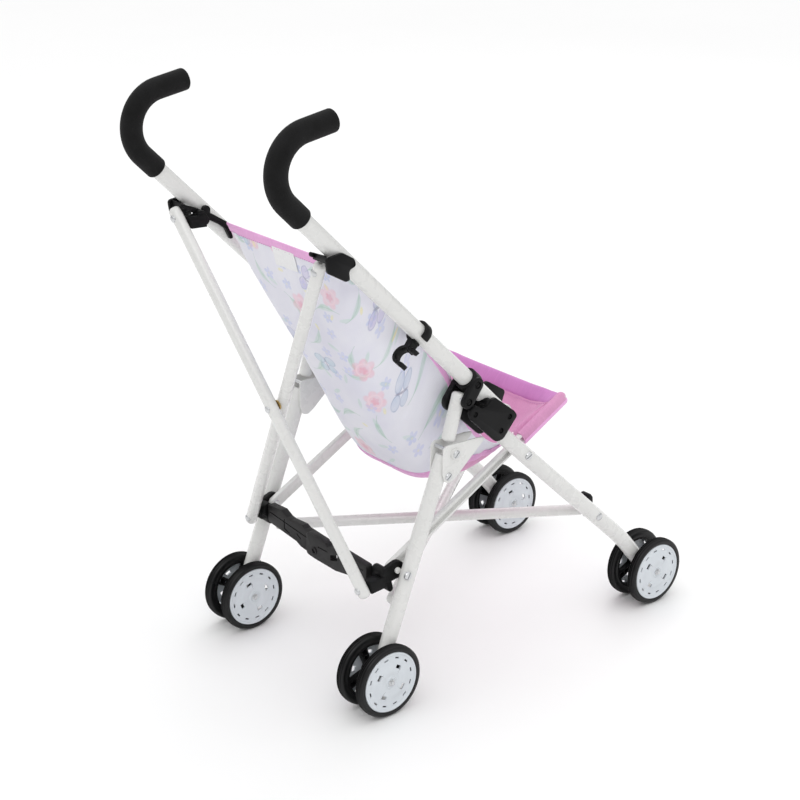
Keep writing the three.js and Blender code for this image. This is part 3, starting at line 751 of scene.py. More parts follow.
def rear_legs():
    for name, side in SIDES:
        y = side * HALF_TRACK
        body = f"{name}_rear_leg"
        outwards = (0, side, 0)
        up = angle_of(KNEE_UP, REAR_PIVOT)
        upper_link = sweep([at(along(REAR_PIVOT, up, 5.4), y), at(KNEE_UP, y)], REAR_LINK_R, rounding=3.5)
        finish(f"{name}_upper_rear_link", upper_link, WHITE, body)
        down = angle_of(KNEE_LOW, REAR_HUB)
        leg = sweep([at(along(KNEE_LOW, down, -1), y), at(along(REAR_HUB, down, 7), y)], REAR_LEG_R)
        stub = pin_across(LEG_PIVOT, side * 104, side * 88.5, 3)
        finish(f"{name}_rear_leg", joined(leg, stub), WHITE, body)
        outer_plate = prism(rounded(KNEE_CORNERS, 5), side * 117.9, side * 119.4, 0.35)
        boss = lathe([(0, 0), (5.6, 0), (5.0, 2.6), (0, 2.6)], at(KNEE_SCREW, side * 119.2), outwards, 32)
        finish(f"{name}_outer_knee_plate", joined(outer_plate, boss), WHITE, body)
        inner_plate = prism(rounded(KNEE_CORNERS, 5), side * 100.6, side * 102.1, 0.35)
        finish(f"{name}_inner_knee_plate", inner_plate, WHITE, body)
        heads = [slotted_screw(at(KNEE_SCREW, side * 121.4), outwards, 3.9, 1.9, 0.8),
                 slotted_screw(at((-102.5, 219.5), side * 119.2), outwards, 3.9, 1.9, 0.7),
                 slotted_screw(at(LEG_PIVOT, side * 117.2), outwards, 4.2, 2.0, 1.0),
                 pin_across((-103.9, 246.0), side * 101, side * 119, 1.9)]
        piece(f"{name}_knee_screws", merged(*heads), ZINC, body)


# ---- Seat rails ----
RAIL_ANGLE = angle_of(LEG_PIVOT, RAIL_PIN)


def seat_rails():
    tip = along(RAIL_PIN, RAIL_ANGLE, RAIL_REACH)
    for name, side in SIDES:
        body = f"{name}_seat_rail"
        bar = link(LEG_PIVOT, tip, 6.2, 4.5, side * 90, side * 95.6, 0.9)
        groove = link(along(LEG_PIVOT, RAIL_ANGLE, 12), along(tip, RAIL_ANGLE, -6), 2.8, 2.4,
                      side * 92.4, side * 98, 0)
        finish(body, cut(bar, groove), WHITE, body)
        piece(f"{name}_rail_rivet", rivet(at(LEG_PIVOT, side * 89.8), (0, -side, 0), 3.6, 1.6), ZINC, body)


# ---- Crossed bars, with plugged ends and rivets. The left bar of each pair lies one pitch off. ----
CROSS_ANGLE = angle_of(CROSS_TOP, CROSS_LOW)
CROSS_NORMAL = CROSS_ANGLE - math.pi / 2
LOW_ANGLE = angle_of(BLOCK_PIVOT, LOW_CROSS_REAR)
LOW_NORMAL = LOW_ANGLE - math.pi / 2


def direction(angle):
    return Vector((math.cos(angle), 0, math.sin(angle)))


def plug_hole(place, outwards, radius):
    """A cutter for the small moulded hole in the plug of a tube's end."""
    profile = [(0, -1.5), (1.4, -1.5), (1.4, 0.2), (0, 0.2)]
    return lathe(profile, place + outwards * (radius * 0.05), outwards, 20)


def crossed_bars():
    for name, side in SIDES:
        level = 0 if side < 0 else 1
        body = f"{name}_rear_cross_bar"
        start = at(along(CROSS_TOP, CROSS_NORMAL, level * CROSS_PITCH), side * CROSS_PIN_Y)
        end = at(along(CROSS_LOW, CROSS_NORMAL, level * CROSS_PITCH), -side * CROSS_PIN_Y)
        heading = (end - start).normalized()
        rise, drop = (6, 10) if level == 0 else (17, 8)
        top, low = start - heading * rise, end + heading * drop
        bar = sweep([top, low], CROSS_R + 0.3, rounding=4.4)
        holes = [plug_hole(top, -heading, CROSS_R), plug_hole(low, heading, CROSS_R)]
        finish(body, cut(bar, *holes), WHITE, body)
        backwards = direction(CROSS_NORMAL)
        away = backwards if level == 1 else -backwards
        heads = [rivet(top + heading * 10 + backwards * (CROSS_R - 0.4), backwards, 3.6, 2.2),
                 rivet(low - heading * 9 + backwards * (CROSS_R - 0.4), backwards, 3.6, 2.2),
                 rivet(start.lerp(end, 0.5) + away * (CROSS_R - 0.4), away, 3.6, 2.0)]
        piece(f"{body}_rivets", merged(*heads), ZINC, body)

        body = f"{name}_low_cross_bar"
        start = at(along(BLOCK_PIVOT, LOW_NORMAL, -level * LOW_PITCH), side * LOW_PIN_Y)
        end = at(along(LOW_CROSS_REAR, LOW_NORMAL, -level * LOW_PITCH), -side * LOW_PIN_Y)
        finish(body, sweep([start, end], LOW_CROSS_R + 0.5, rounding=3.5), WHITE, body)
        away = direction(LOW_NORMAL) * (1 if level == 0 else -1)
        heading = (end - start).normalized()
        heads = [rivet(p + away * (LOW_CROSS_R - 0.4), away, 3.2, 1.6)
                 for p in (start + heading * 5, end - heading * 5, start.lerp(end, 0.5))]
        piece(f"{body}_rivets", merged(*heads), ZINC, body)
    for name, first, last, normal, pitch in (("rear", CROSS_TOP, CROSS_LOW, CROSS_NORMAL, CROSS_PITCH),
                                             ("low", BLOCK_PIVOT, LOW_CROSS_REAR, LOW_NORMAL, -LOW_PITCH)):
        middle = along(tuple((a + b) / 2 for a, b in zip(first, last)), normal, pitch / 2)
        profile = [(1.5, -0.5), (4.9, -0.5), (5.0, 0), (4.9, 0.5), (1.5, 0.5)]
        washer = lathe(profile, at(middle, 0), direction(normal), 36, True)
        finish(f"{name}_cross_washer", washer, BRASS, f"left_{name}_cross_bar")


# ---- Brackets ----
def bar_pad(centre, level, root, side, reach):
    """The pad that a rear crossed bar lies against, from its root to just short of the bar."""
    half = 6.0
    face = along(centre, CROSS_NORMAL, level * CROSS_PITCH - CROSS_R - 0.9)
    outline = [along(face, CROSS_ANGLE, -half), along(root, CROSS_ANGLE, -half),
               along(root, CROSS_ANGLE, half), along(face, CROSS_ANGLE, half)]
    return prism(outline, side * (CROSS_PIN_Y - half), side * (CROSS_PIN_Y + reach))


def top_brackets():
    cheek = rounded([(-240.5, 454.5), (-223, 456.5, 6), (-210.5, 449, 5), (-208.8, 442.5, 3), (-216.5, 440),
                     (-215.6, 431, 3), (-220, 430.5, 3), (-238.6, 441.2)], 4)
    wedge = rounded([(-240, 455.5, 2), (-224, 449, 6), (-207, 440.5, 8), (-190, 429.5, 4), (-184.5, 413.5, 2),
                     (-188, 412.5, 1.5), (-193, 423.5, 3), (-199, 428.5, 6), (-214, 437, 6), (-230, 446.5, 4),
                     (-240.5, 451.5, 2)], 3)
    bridge = [(-237.2, 454.5), (-233.5, 453), (-231.5, 448.5), (-236.6, 447.8)]
    for name, side in SIDES:
        level = 0 if side < 0 else 1
        shell = joined(prism(cheek, side * 118.4, side * 122, 0.8),
                       prism(wedge, side * 96.9, side * 101.6, 0.8),
                       pin_across(BRACKET_PIVOT, side * 99, side * 120, 2.6),
                       prism(bridge, side * 97.5, side * 121.5, 0.8),
                       link(BRACKET_PIVOT, (-214, 438), 4.2, 4.5, side * 97.2, side * 101.4),
                       link((-218, 437), (-222, 443), 4.5, 4.5, side * 92, side * 101.4),
                       bar_pad(CROSS_TOP, level, (-218, 437), side, 4.8))
        hollow = dip(at(BRACKET_PIVOT, side * 122), (0, side, 0), 0.4, 2.6, 3.0)
        finish(f"{name}_top_bracket", cut(shell, hollow), BLACK, f"{name}_top_bracket")


def bottom_brackets():
    for name, side in SIDES:
        level = 1 if side < 0 else 0
        shell = joined(link(LEG_PIVOT, (-158, 130), 9, 8, side * 96.2, side * 101.6, 0.8),
                       link((-162, 132), (-162, 128), 5.2, 5.2, side * 85.5, side * 101, 0.8),
                       bar_pad(CROSS_LOW, level, (-162, 124), side, 5),
                       link((-158, 121), (-156, 114.5), 3.4, 3, side * 90, side * 101, 0.6))
        finish(f"{name}_bottom_bracket", shell, BLACK, f"{name}_bottom_bracket")


def front_blocks():
    for name, side in SIDES:
        lift = LOW_CROSS_R + 3.3 - (0 if side < 0 else LOW_PITCH)
        x, z = BLOCK_PIVOT
        shell = joined(link(BLOCK_PIVOT, (x, z + 14), 6, 5, side * 97.4, side * 101.6),
                       link(along(BLOCK_PIVOT, LOW_NORMAL, lift), (x, z + 16), 3, 4, side * 91, side * 101))
        finish(f"{name}_front_block", shell, BLACK, f"{name}_front_block")


# ---- Spreader: two ribbed halves. Outlines are (y, z), seen from behind. ----
SPREADER_X = -164.0
SPREADER_OUTLINES = {
    "left": [(84.5, 137.5, 3), (61, 138.8, 2), (52, 134.5, 2), (46, 133.6, 1), (27, 135, 2), (22, 132.8, 1),
             (-9, 131.0, 3), (-9, 110, 4), (8, 108.8, 3), (30, 111, 2), (37, 114, 3), (84.5, 118.5, 4)],
    "right": [(-84.5, 136.5, 3), (-47, 137.8, 3), (-43, 137.0, 1), (-25, 133.8, 3), (-21, 136, 1),
              (-3, 137.6, 1), (9, 137.2, 3), (9, 114.5, 4), (-4, 113.4, 4), (-37, 113.0, 9), (-71, 118.7, 9),
              (-84.5, 121, 4)]}
# Each groove or window is its outline and its depth.
SPREADER_GROOVES = {
    "left": (([(80, 129.4), (80, 130.6), (12, 124.6), (12, 123.4)], 0.9),
             ([(57, 131), (55.6, 131), (55.6, 120.5), (57, 120.5)], 1.4),
             ([(57, 121.8), (48, 119.0), (48, 117.8), (57, 120.4)], 1.4),
             ([(36, 123.5), (29, 120.0), (29, 118.4), (36, 121.8)], 1.4)),
    "right": ((rounded([(-29, 126.6), (-40.5, 131), (-40.5, 124.6), (-29.5, 121.2)], 1), 12),
              ([(-10, 127.4), (-10, 128.6), (-25, 129.0), (-25, 127.8)], 0.9),
              ([(-44, 128.6), (-44, 129.6), (-80, 130.8), (-80, 129.8)], 0.9),
              ([(2, 121), (-5, 119.5), (-5, 121), (1, 122.4)], 1.2))}
SPREADER_BOSS = {"left": (16, 117.5), "right": (-4, 122)}


def spreader():
    for name, side in SIDES:
        near, far = SPREADER_X + side * 0.3, SPREADER_X + side * 8
        back = min(near, far)
        plate = across_prism(rounded(SPREADER_OUTLINES[name], 2), near, far)
        grooves = [across_prism(outline, back - 1, back + depth, 0)
                   for outline, depth in SPREADER_GROOVES[name]]
        boss = lathe([(2.6, -0.5), (3.6, -0.5), (3.6, 0.9), (2.6, 0.9)],
                     Vector((back + CENTRE_X, *SPREADER_BOSS[name])), (-1, 0, 0), 28, True)
        node = f"{name}_spreader_half"
        finish(node, joined(cut(plate, *grooves), boss), CHARCOAL, node)


# ---- Transport clip ----
def ring_part(centre, start, turn, inner, outer, width):
    """Part of a ring, drawn across the tube: x outwards, y up, and its width along the tube."""
    start, turn = math.radians(start), math.radians(turn)
    outline = arc(centre, outer, start, start + turn, 36) + arc(centre, inner, start + turn, start, 36)
    return upright_prism(outline, 0, width, 0.6)


def transport_clip():
    width = 8.6
    neck = [(-4.5, -9.5), (3.8, -9.5), (2.6, -19), (-3.4, -19)]
    upper_lip = [(3.5, -19.5), (9.0, -19.5), (10.5, -15.5), (5.5, -15.8)]
    lower_lip = [(1.6, -31.2), (7.6, -31.5), (6.6, -36.0), (1.4, -34.6)]
    neck, upper_lip, lower_lip = (upright_prism(o, 0, width, 0.5) for o in (neck, upper_lip, lower_lip))
    collar = ring_part((0, 0), -22, 318, TUBE_R + 0.3, 11.2, width)
    hook = ring_part((-0.5, -25), 48, 238, 6.0, 9.4, width)
    mesh = joined(collar, neck, hook, upper_lip, lower_lip)
    mesh.transform(Matrix.Translation((0, 0, -1)))
    half = math.sqrt(0.5)
    turn = Matrix(((0, half, -half, 0), (-1, 0, 0, 0), (0, half, half, 0), (0, 0, 0, 1)))
    mesh.transform(Matrix.Translation(at(CLIP_CENTRE, -HALF_TRACK)) @ turn)
    finish("transport_clip", mesh, BLACK, "transport_clip")


# ---- Wheels: made once about the origin with the cap facing +Z, then placed eight times ----
def wheel_meshes():
    """The tyre, the cap, the spoked hub behind it, and the pin's head."""
    def turned(profile, segments=96, closed=False):
        return lathe(profile, Vector(), (0, 0, 1), segments, closed)
    grooves = []
    for middle in (2.3, 0.0, -2.3):
        crown = WHEEL_R - 0.09 * abs(middle) ** 1.5
        grooves += [(crown - 0.05, middle + 0.95), (crown - 1.1, middle + 0.4), (crown - 1.1, middle - 0.4),
                    (crown - 0.05, middle - 0.95)]
    shoulder = [(30.2, 4.2), (30.8, 4.8), (33.0, 5.0), (34.4, 4.6), (35.1, 4.0)]
    far_shoulder = [(r, -h) for r, h in shoulder[:0:-1]]
    tyre = turned([*shoulder, *grooves, *far_shoulder, (28.2, -4.2), (28.2, 2.0), (30.2, 2.0)], closed=True)
    cap = turned([(0, 3.0), (30.0, 3.0), (30.0, 4.5), (29.6, 5.1), (28.9, 5.3), (28.2, 5.1), (27.7, 4.5),
                  (27.0, 4.2), (18.5, 4.3), (17.4, 4.8), (9.0, 5.1), (8.2, 4.7), (6.2, 4.7), (5.8, 5.3),
                  (4.9, 5.3), (4.5, 4.9), (0, 4.9)])
    slots = [cap_slot(24.4, 30 * i + 8, 4.6, 1.5) for i in range(12)]
    slots += [cap_slot(16.0, 90 * i + 53, 5.8, 3.4) for i in range(4)]
    cap = bevelled(cut(cap, merged(*slots)), 0.2, 1, math.radians(50))
    rim = turned([(25.6, 2.7), (28.1, 2.7), (28.1, -4.0), (25.6, -4.0)], 72, True)
    boss = turned([(2.6, 2.8), (7.0, 2.8), (7.0, -4.0), (2.6, -4.0)], 48, True)
    spokes = []
    for i in range(4):
        bars = [upright_prism([(5, y - 0.9), (26.5, far - 0.9), (26.5, far + 0.9), (5, y + 0.9)], -3.6, 2.6)
                for y, far in ((-2.4, -3.4), (2.4, 3.4))]
        bars.append(upright_prism(rectangle(17.5, 19.2, -3.2, 3.2), -3.2, 2.4))
        bars.append(upright_prism([(5, -2.6), (12, -2.9), (12, 2.9), (5, 2.6)], -3.2, 2.4))
        for bar in bars:
            bar.transform(Matrix.Rotation(math.radians(90 * i + 20), 4, "Z"))
        spokes += bars
    pin = turned([(0, 4.9), (3.3, 4.9), (3.3, 5.6), (2.4, 6.2), (1.2, 6.3), (0.9, 5.9), (0, 5.9)], 32)
    return tyre, cap, joined(rim, boss, *spokes), pin


def cap_slot(distance, degrees, width, height):
    """A small upright cutter at a distance from the wheel's centre."""
    near, far = distance - height / 2, distance + height / 2
    box = upright_prism(rectangle(near, far, -width / 2, width / 2), 1.0, 8.0, 0)
    box.transform(Matrix.Rotation(math.radians(degrees), 4, "Z"))
    return box


def wheels():
    tyre, cap, hub, pin = wheel_meshes()

    def placed(mesh, centre, y, outwards, turn=0.0):
        """A copy of a wheel's mesh with its cap facing outwards, turned about its own axle."""
        copy = mesh.copy()
        facing = Matrix.Rotation(-outwards * math.pi / 2, 4, "X") @ Matrix.Rotation(turn, 4, "Z")
        copy.transform(Matrix.Translation(at(centre, y)) @ facing)
        return copy
    count = 0
    for name, side in SIDES:
        for place, centre in (("front", FRONT_HUB), ("rear", REAR_HUB)):
            for where, outwards in (("outer", side), ("inner", -side)):
                wheel = f"{name}_{place}_{where}"
                body = f"{wheel}_wheel"
                where_to = (centre, PIVOT[f"{body}_spin"].y, outwards, math.radians(47 * count))
                count += 1
                finish(f"{wheel}_tyre", placed(tyre, *where_to), TYRE, body)
                piece(f"{wheel}_cap", placed(cap, *where_to), CAP, body, body)
                piece(f"{wheel}_hub", placed(hub, *where_to), BLACK, body)
            shaft = pin_across(centre, side * (HALF_TRACK - 22), side * (HALF_TRACK + 22), 2, 20)
            heads = [placed(pin, centre, side * (HALF_TRACK + way * 14.5), way * side) for way in (1, -1)]
            finish(f"{name}_{place}_axle", merged(shaft, *heads), ZINC, f"{name}_{place}_leg")


# ---- Seat fabric: rows of the sling give its middle and its edge in the side view, and half its width ----
SLING = [
    ((-196, 431), (-194, 430), 92), ((-179, 378), (-182, 415), 95), ((-150, 320), (-149, 384), 97),
    ((-116, 252), (-111, 346), 96.5), ((-94, 210), (-82, 309), 94.5), ((-72, 184), (-58, 262), 91),
    ((-27, 178), (-14, 219), 87.5), ((22, 202), (28, 235), 87.5), ((66, 245), (66, 247), 87.5)]
CLOTH_THICK = 0.8
CLOTH_SMOOTH = math.radians(60)
GRID_ROWS = 97
GRID_COLUMNS = 65
SAG_CAP = 7.0
DRAPE_FRAMES = 25
SEAM_MIDDLE = 0.575
SEAM_SIDE = 0.79
LINING_START = 0.40
LINING_SPLIT = 0.68
LINING_LIFT = 0.9


def centripetal(points, count):
    """Samples of a centripetal Catmull-Rom curve through the points, evenly spread between them."""
    points = [np.array(p, float) for p in points]
    points = [2 * points[0] - points[1], *points, 2 * points[-1] - points[-2]]
    result = []
    for step in range(count):
        place = step / (count - 1) * (len(points) - 3)
        i = min(int(place), len(points) - 4)
        t = place - i
        p0, p1, p2, p3 = points[i:i + 4]
        d0, d1, d2 = (max(np.linalg.norm(b - a), 1e-6) ** 0.5 for a, b in ((p0, p1), (p1, p2), (p2, p3)))
        m1 = ((p1 - p0) / d0 - (p2 - p0) / (d0 + d1) + (p2 - p1) / d1) * d1
        m2 = ((p2 - p1) / d1 - (p3 - p1) / (d1 + d2) + (p3 - p2) / d2) * d1
        h = [2 * t ** 3 - 3 * t ** 2 + 1, t ** 3 - 2 * t ** 2 + t, -2 * t ** 3 + 3 * t ** 2, t ** 3 - t ** 2]
        result.append(h[0] * p1 + h[1] * m1 + h[2] * p2 + h[3] * m2)
    return np.array(result)


def sling_grid():
    """The sling's rest shape as a grid of points, rows along it and columns across it."""
    middle = centripetal([at(m, 0) for m, e, h in SLING], GRID_ROWS)
    edge = centripetal([at(e, h) for m, e, h in SLING], GRID_ROWS)
    across = np.linspace(-1, 1, GRID_COLUMNS)
    grid = np.zeros((GRID_ROWS, GRID_COLUMNS, 3))
    for j, v in enumerate(across):
        grid[:, j] = middle + (edge - middle) * abs(v) ** 4
        grid[:, j, 1] = edge[:, 1] * v
    return grid


def draped(grid):
    """Lets the cloth hang under gravity from its edges, and limits how far it may move."""
    verts = (grid.reshape(-1, 3) * MM).tolist()
    corners = [i * GRID_COLUMNS + j for i in range(GRID_ROWS - 1) for j in range(GRID_COLUMNS - 1)]
    faces = [[a, a + 1, a + GRID_COLUMNS + 1, a + GRID_COLUMNS] for a in corners]
    cloth = in_scene("drape", mesh_of(verts, faces))
    held = cloth.vertex_groups.new(name="held")
    held.add([i * GRID_COLUMNS + j for i in range(GRID_ROWS) for j in range(GRID_COLUMNS)
              if i in (0, GRID_ROWS - 1) or j in (0, GRID_COLUMNS - 1)], 1.0, "REPLACE")
    modifier = cloth.modifiers.new("cloth", "CLOTH")
    settings = modifier.settings
    for name, value in (("quality", 6), ("mass", 0.15), ("tension_stiffness", 40),
                        ("compression_stiffness", 8), ("shear_stiffness", 8), ("bending_stiffness", 0.05),
                        ("shrink_min", -0.018), ("vertex_group_mass", "held")):
        setattr(settings, name, value)
    modifier.collision_settings.use_collision = False
    scene = bpy.context.scene
    for step in range(1, DRAPE_FRAMES + 1):
        scene.frame_set(step)
    result = cloth.evaluated_get(bpy.context.evaluated_depsgraph_get()).to_mesh()
    moved = np.array([v.co for v in result.vertices]).reshape(grid.shape) / MM
    bpy.data.objects.remove(cloth)
    scene.frame_set(1)
    shift = moved - grid
    size = np.linalg.norm(shift, axis=2, keepdims=True)
    return grid + shift * np.minimum(1.0, SAG_CAP / np.maximum(size, 1e-9))


REST_GRID = sling_grid()
CLOTH_GRID = draped(REST_GRID)
ROW_STEPS = np.linalg.norm(np.diff(REST_GRID[:, GRID_COLUMNS // 2], axis=0), axis=1)
ROW_LENGTH = np.concatenate([[0], np.cumsum(ROW_STEPS)])


def cloth_normals(grid):
    lengthwise = np.gradient(grid, axis=0)
    crosswise = np.gradient(grid, axis=1)
    normal = np.cross(lengthwise, crosswise)
    return normal / np.maximum(np.linalg.norm(normal, axis=2, keepdims=True), 1e-9)


CLOTH_NORMALS = cloth_normals(CLOTH_GRID)


def sample(field, t, v):
    """A smooth value of a grid field at t along the sling, 0 to 1, and v across it, -1 to 1."""
    row = min(max(t, 0), 1) * (GRID_ROWS - 1)
    column = (min(max(v, -1), 1) + 1) / 2 * (GRID_COLUMNS - 1)
    i, j = min(int(row), GRID_ROWS - 2), min(int(column), GRID_COLUMNS - 2)
    a, b = row - i, column - j
    return ((field[i, j] * (1 - b) + field[i, j + 1] * b) * (1 - a)
            + (field[i + 1, j] * (1 - b) + field[i + 1, j + 1] * b) * a)


def cloth_point(t, v, lift=0.0):
    """A point on the cloth, lift millimetres to its seat side."""
    return Vector(sample(CLOTH_GRID, t, v) + sample(CLOTH_NORMALS, t, v) * lift)


def cloth_heading(start, end):
    """The way from one place on the cloth to another. Each is (t, v)."""
    return (cloth_point(*end) - cloth_point(*start)).normalized()


def cloth_length(t):
    """Millimetres of cloth from its top edge, along its middle."""
    return float(np.interp(t * (GRID_ROWS - 1), range(GRID_ROWS), ROW_LENGTH))


def shell(name, spot, rows, columns, thickness, look, body, uv):
    """A closed thin shell of cloth. spot(s, w, lift) is its point at s along and w across, both 0 to 1."""
    lows, highs = ([spot(i / rows, j / columns, lift) for i in range(rows + 1) for j in range(columns + 1)]
                   for lift in (0.0, thickness))
    width = columns + 1
    over = len(lows)
    faces = []
    for i in range(rows):
        for j in range(columns):
            a = i * width + j
            faces.append([a, a + 1, a + width + 1, a + width])
            faces.append([over + a, over + a + width, over + a + width + 1, over + a + 1])
        left, right = i * width, i * width + columns
        faces.append([left, left + width, over + left + width, over + left])
        faces.append([right, over + right, over + right + width, right + width])
    for j in range(columns):
        last = rows * width + j
        faces.append([j, over + j, over + j + 1, j + 1])
        faces.append([last, last + 1, over + last + 1, over + last])
    places = [uv(i / rows, j / columns) for i in range(rows + 1) for j in range(columns + 1)]
    return cloth_piece(name, facing_out(mesh_of(lows + highs, faces)), places * 2, look, body)


def cloth_piece(name, mesh, places, look, body):
    """A piece of cloth, with the flat place of each of its vertices in metres."""
    layer = mesh.uv_layers.new(name="cloth")
    for loop in mesh.loops:
        layer.data[loop.index].uv = places[loop.vertex_index]
    return piece(name, mesh, look, body, smooth=CLOTH_SMOOTH)


def gather(obj):
    """Gives the cloth piece a mesh of its own."""
    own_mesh(obj)
    return obj


def seam_at(v):
    """Where the printed back panel meets the seat's pink base, along the sling."""
    return SEAM_MIDDLE + (SEAM_SIDE - SEAM_MIDDLE) * abs(v) ** 3


def back_panel():
    def spot(s, w, lift):
        v = 2 * w - 1
        return cloth_point(s * seam_at(v), v, lift - CLOTH_THICK / 2)

    def uv(s, w):
        v = 2 * w - 1
        return (0.095 * v, -cloth_length(s * seam_at(v)) * MM)
    obj = shell("seat_back_panel", spot, 90, 64, CLOTH_THICK, PRINT, "right_handle", uv)
    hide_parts("seat_fabric")
    gather(obj)


def seat_lining():
    """The pink lining: its back part hangs from the handles and its base moves with the seat rails."""
    for name, start, end, body, flat, area in (
            ("lining_back", LINING_START, LINING_SPLIT + 0.02, "right_handle", (0.21, 0.14), 0.026),
            ("lining_base", LINING_SPLIT - 0.02, 1.0, "right_seat_rail", (0.21, 0.17), 0.032)):
        def spot(s, w, lift):
            v = (2 * w - 1) * 0.995
            return cloth_point(start + s * (end - start), v, lift + LINING_LIFT)

        def uv(s, w):
            return (0.09 * (2 * w - 1), -cloth_length(start + s * (end - start)) * MM)
        obj = shell(f"seat_{name}", spot, 40, 64, CLOTH_THICK, LINING, body, uv)
        gather(obj)


def ribbon(name, line, up, wide, thick, look, body, gathers=True, round_end=0.0):
    """A flattened binding along a line of points; up gives the direction of its width at each."""
    sides = 16
    rings, places = [], []
    travelled = 0.0
    for i, point in enumerate(line):
        before, after = line[max(i - 1, 0)], line[min(i + 1, len(line) - 1)]
        heading = (after - before).normalized()
        rise = up[i] if isinstance(up, list) else up
        rise = (rise - heading * rise.dot(heading)).normalized()
        side = heading.cross(rise)
        travelled += (point - before).length
        left = (line[-1] - point).length
        size = math.sqrt(max(1 - (1 - left / round_end) ** 2, 0.04)) if left < round_end else 1.0
        ring = []
        for j in range(sides):
            a = 2 * math.pi * j / sides
            flat = math.copysign(abs(math.cos(a)) ** 0.6, math.cos(a))
            ring.append(point + (rise * wide / 2 * flat + side * thick / 2 * math.sin(a)) * size)
            places.append((travelled * MM, wide * j / sides * MM))
        rings.append(ring)
    obj = cloth_piece(name, tube_of(rings), places, look, body)
    return gather(obj) if gathers else obj


def stitches(name, line, normals, body):
    """A row of stitches: one short thread after another, just proud of the cloth."""
    length, gap, radius = 2.0, 1.3, 0.28
    total = [0.0]
    for a, b in zip(line, line[1:]):
        total.append(total[-1] + (b - a).length)

    def spot(distance):
        k = min(max(np.searchsorted(total, distance) - 1, 0), len(line) - 2)
        share = (distance - total[k]) / max(total[k + 1] - total[k], 1e-9)
        return line[k].lerp(line[k + 1], share), normals[k]
    threads = []
    distance = gap
    while distance + length < total[-1]:
        a, normal = spot(distance)
        b, _ = spot(distance + length)
        threads.append(sweep([a + normal * radius * 0.2, a.lerp(b, 0.5) + normal * radius * 0.9,
                              b + normal * radius * 0.2], radius, 6, radius * 0.8))
        distance += length + gap
    gather(piece(name, merged(*threads), THREAD, body))


def bindings():
    """Pink binding along the panel's top and sides, and the band over its seam with the seat."""
    across = np.linspace(-1, 1, 81)
    top = [cloth_point(0.0, v) for v in across]
    down = [cloth_heading((0.0, v), (0.02, v)) for v in across]
    line = [p + d * 3.6 for p, d in zip(top, down)]
    ribbon("top_binding", line, down, 9.5, 2.6, BINDING, "right_handle")
    facing = [Vector(sample(CLOTH_NORMALS, 0.02, v)) for v in across]
    hem = [p + d * 7.2 for p, d in zip(top, down)]
    for name, way in (("outer", -1), ("inner", 1)):
        normals = [n * way for n in facing]
        row = [p + n for p, n in zip(hem, normals)]
        stitches(f"top_binding_stitches_{name}", row, normals, "right_handle")
    for name, side in SIDES:
        steps = np.linspace(0.0, 0.70, 90)
        edge = [cloth_point(t, side * 0.985) for t in steps]
        outward = [cloth_heading((t, side * 0.95), (t, side)) for t in steps]
        ribbon(f"{name}_side_binding", edge, outward, 5.0, 2.2, BINDING, "right_handle")
    steps = np.linspace(-0.985, 0.985, 121)
    seam = [cloth_point(seam_at(v), v, -0.6) for v in steps]
    lengthwise = [cloth_heading((seam_at(v) - 0.01, v), (seam_at(v) + 0.01, v)) for v in steps]
    ribbon("bucket_band", seam, lengthwise, 10.0, 2.2, BINDING, "right_handle")


def front_band():
    """The wide band round the seat's front edge, and the sleeves that take the seat rails."""
    across = np.linspace(-1, 1, 61)
    front = [cloth_point(1.0, v, 0.6) for v in across]
    back = [cloth_heading((1.0, v), (0.97, v)) for v in across]
    line = [p + d * 4.0 for p, d in zip(front, back)]
    ribbon("front_band", line, back, 17.0, 5.0, BAND, "right_seat_rail")
    facing = [Vector(sample(CLOTH_NORMALS, 0.97, v)) for v in across]
    hem = [p + d * 10.4 + n * 2.2 for p, d, n in zip(line, back, facing)]
    stitches("front_band_stitches", [p - n * 0.6 for p, n in zip(hem, facing)], facing, "right_seat_rail")
    start, tip = (along(RAIL_PIN, RAIL_ANGLE, distance) for distance in (15, RAIL_REACH + 6.5))
    for name, side in SIDES:
        line = [at(start, side * 92.3).lerp(at(tip, side * 92.0), k / 48) for k in range(49)]
        up = direction(RAIL_ANGLE + math.pi / 2)
        hem = [p - up * 4.6 for p in line]
        rounded_end = {"gathers": False, "round_end": 6.0}
        ribbon(f"{name}_rail_sleeve", line, up, 13.0, 8.4, LINING, f"{name}_seat_rail", **rounded_end)
        ribbon(f"{name}_sleeve_binding", hem, up, 5.6, 9.6, BINDING, f"{name}_seat_rail", **rounded_end)


def gussets():
    """Pink cloth between each seat rail's sleeve and the sling's side edge, at the front."""
    near, far = (along(RAIL_PIN, RAIL_ANGLE, distance) for distance in (6, RAIL_REACH))
    for name, side in SIDES:
        def spot(s, w, lift):
            upper = cloth_point(0.82 + 0.18 * s, side * 0.995, LINING_LIFT)
            lower = at(near, side * 91.5).lerp(at(far, side * 91.5), s)
            return upper.lerp(lower, w) + Vector((0, side * (lift - CLOTH_THICK / 2), 0))
        shell(f"{name}_seat_gusset", spot, 24, 6, CLOTH_THICK, LINING, f"{name}_seat_rail",
              lambda s, w: (0.07 * s, 0.014 * w))


def label():
    """A blank sewn-in label below the top binding."""
    def spot(s, w, lift):
        v = -0.15 + 0.36 * w
        return cloth_point(0.012 + 0.042 * s, v, -lift - 0.9)
    obj = shell("care_label", spot, 6, 10, 0.5, LABEL, "right_handle", lambda s, w: (0.033 * w, 0.013 * s))
    gather(obj)


def lap_belt():
    """Two short straps of black webbing at the seat's sides."""
    for name, side in SIDES:
        line = [cloth_point(0.70 - 0.10 * k / 12, side * (0.93 - 0.22 * k / 12), 2.4) for k in range(13)]
        across = cloth_heading((0.66, side * 0.9), (0.72, side * 0.9))
        ribbon(f"{name}_lap_strap", line, across, 12.0, 1.2, WEBBING, "right_handle")


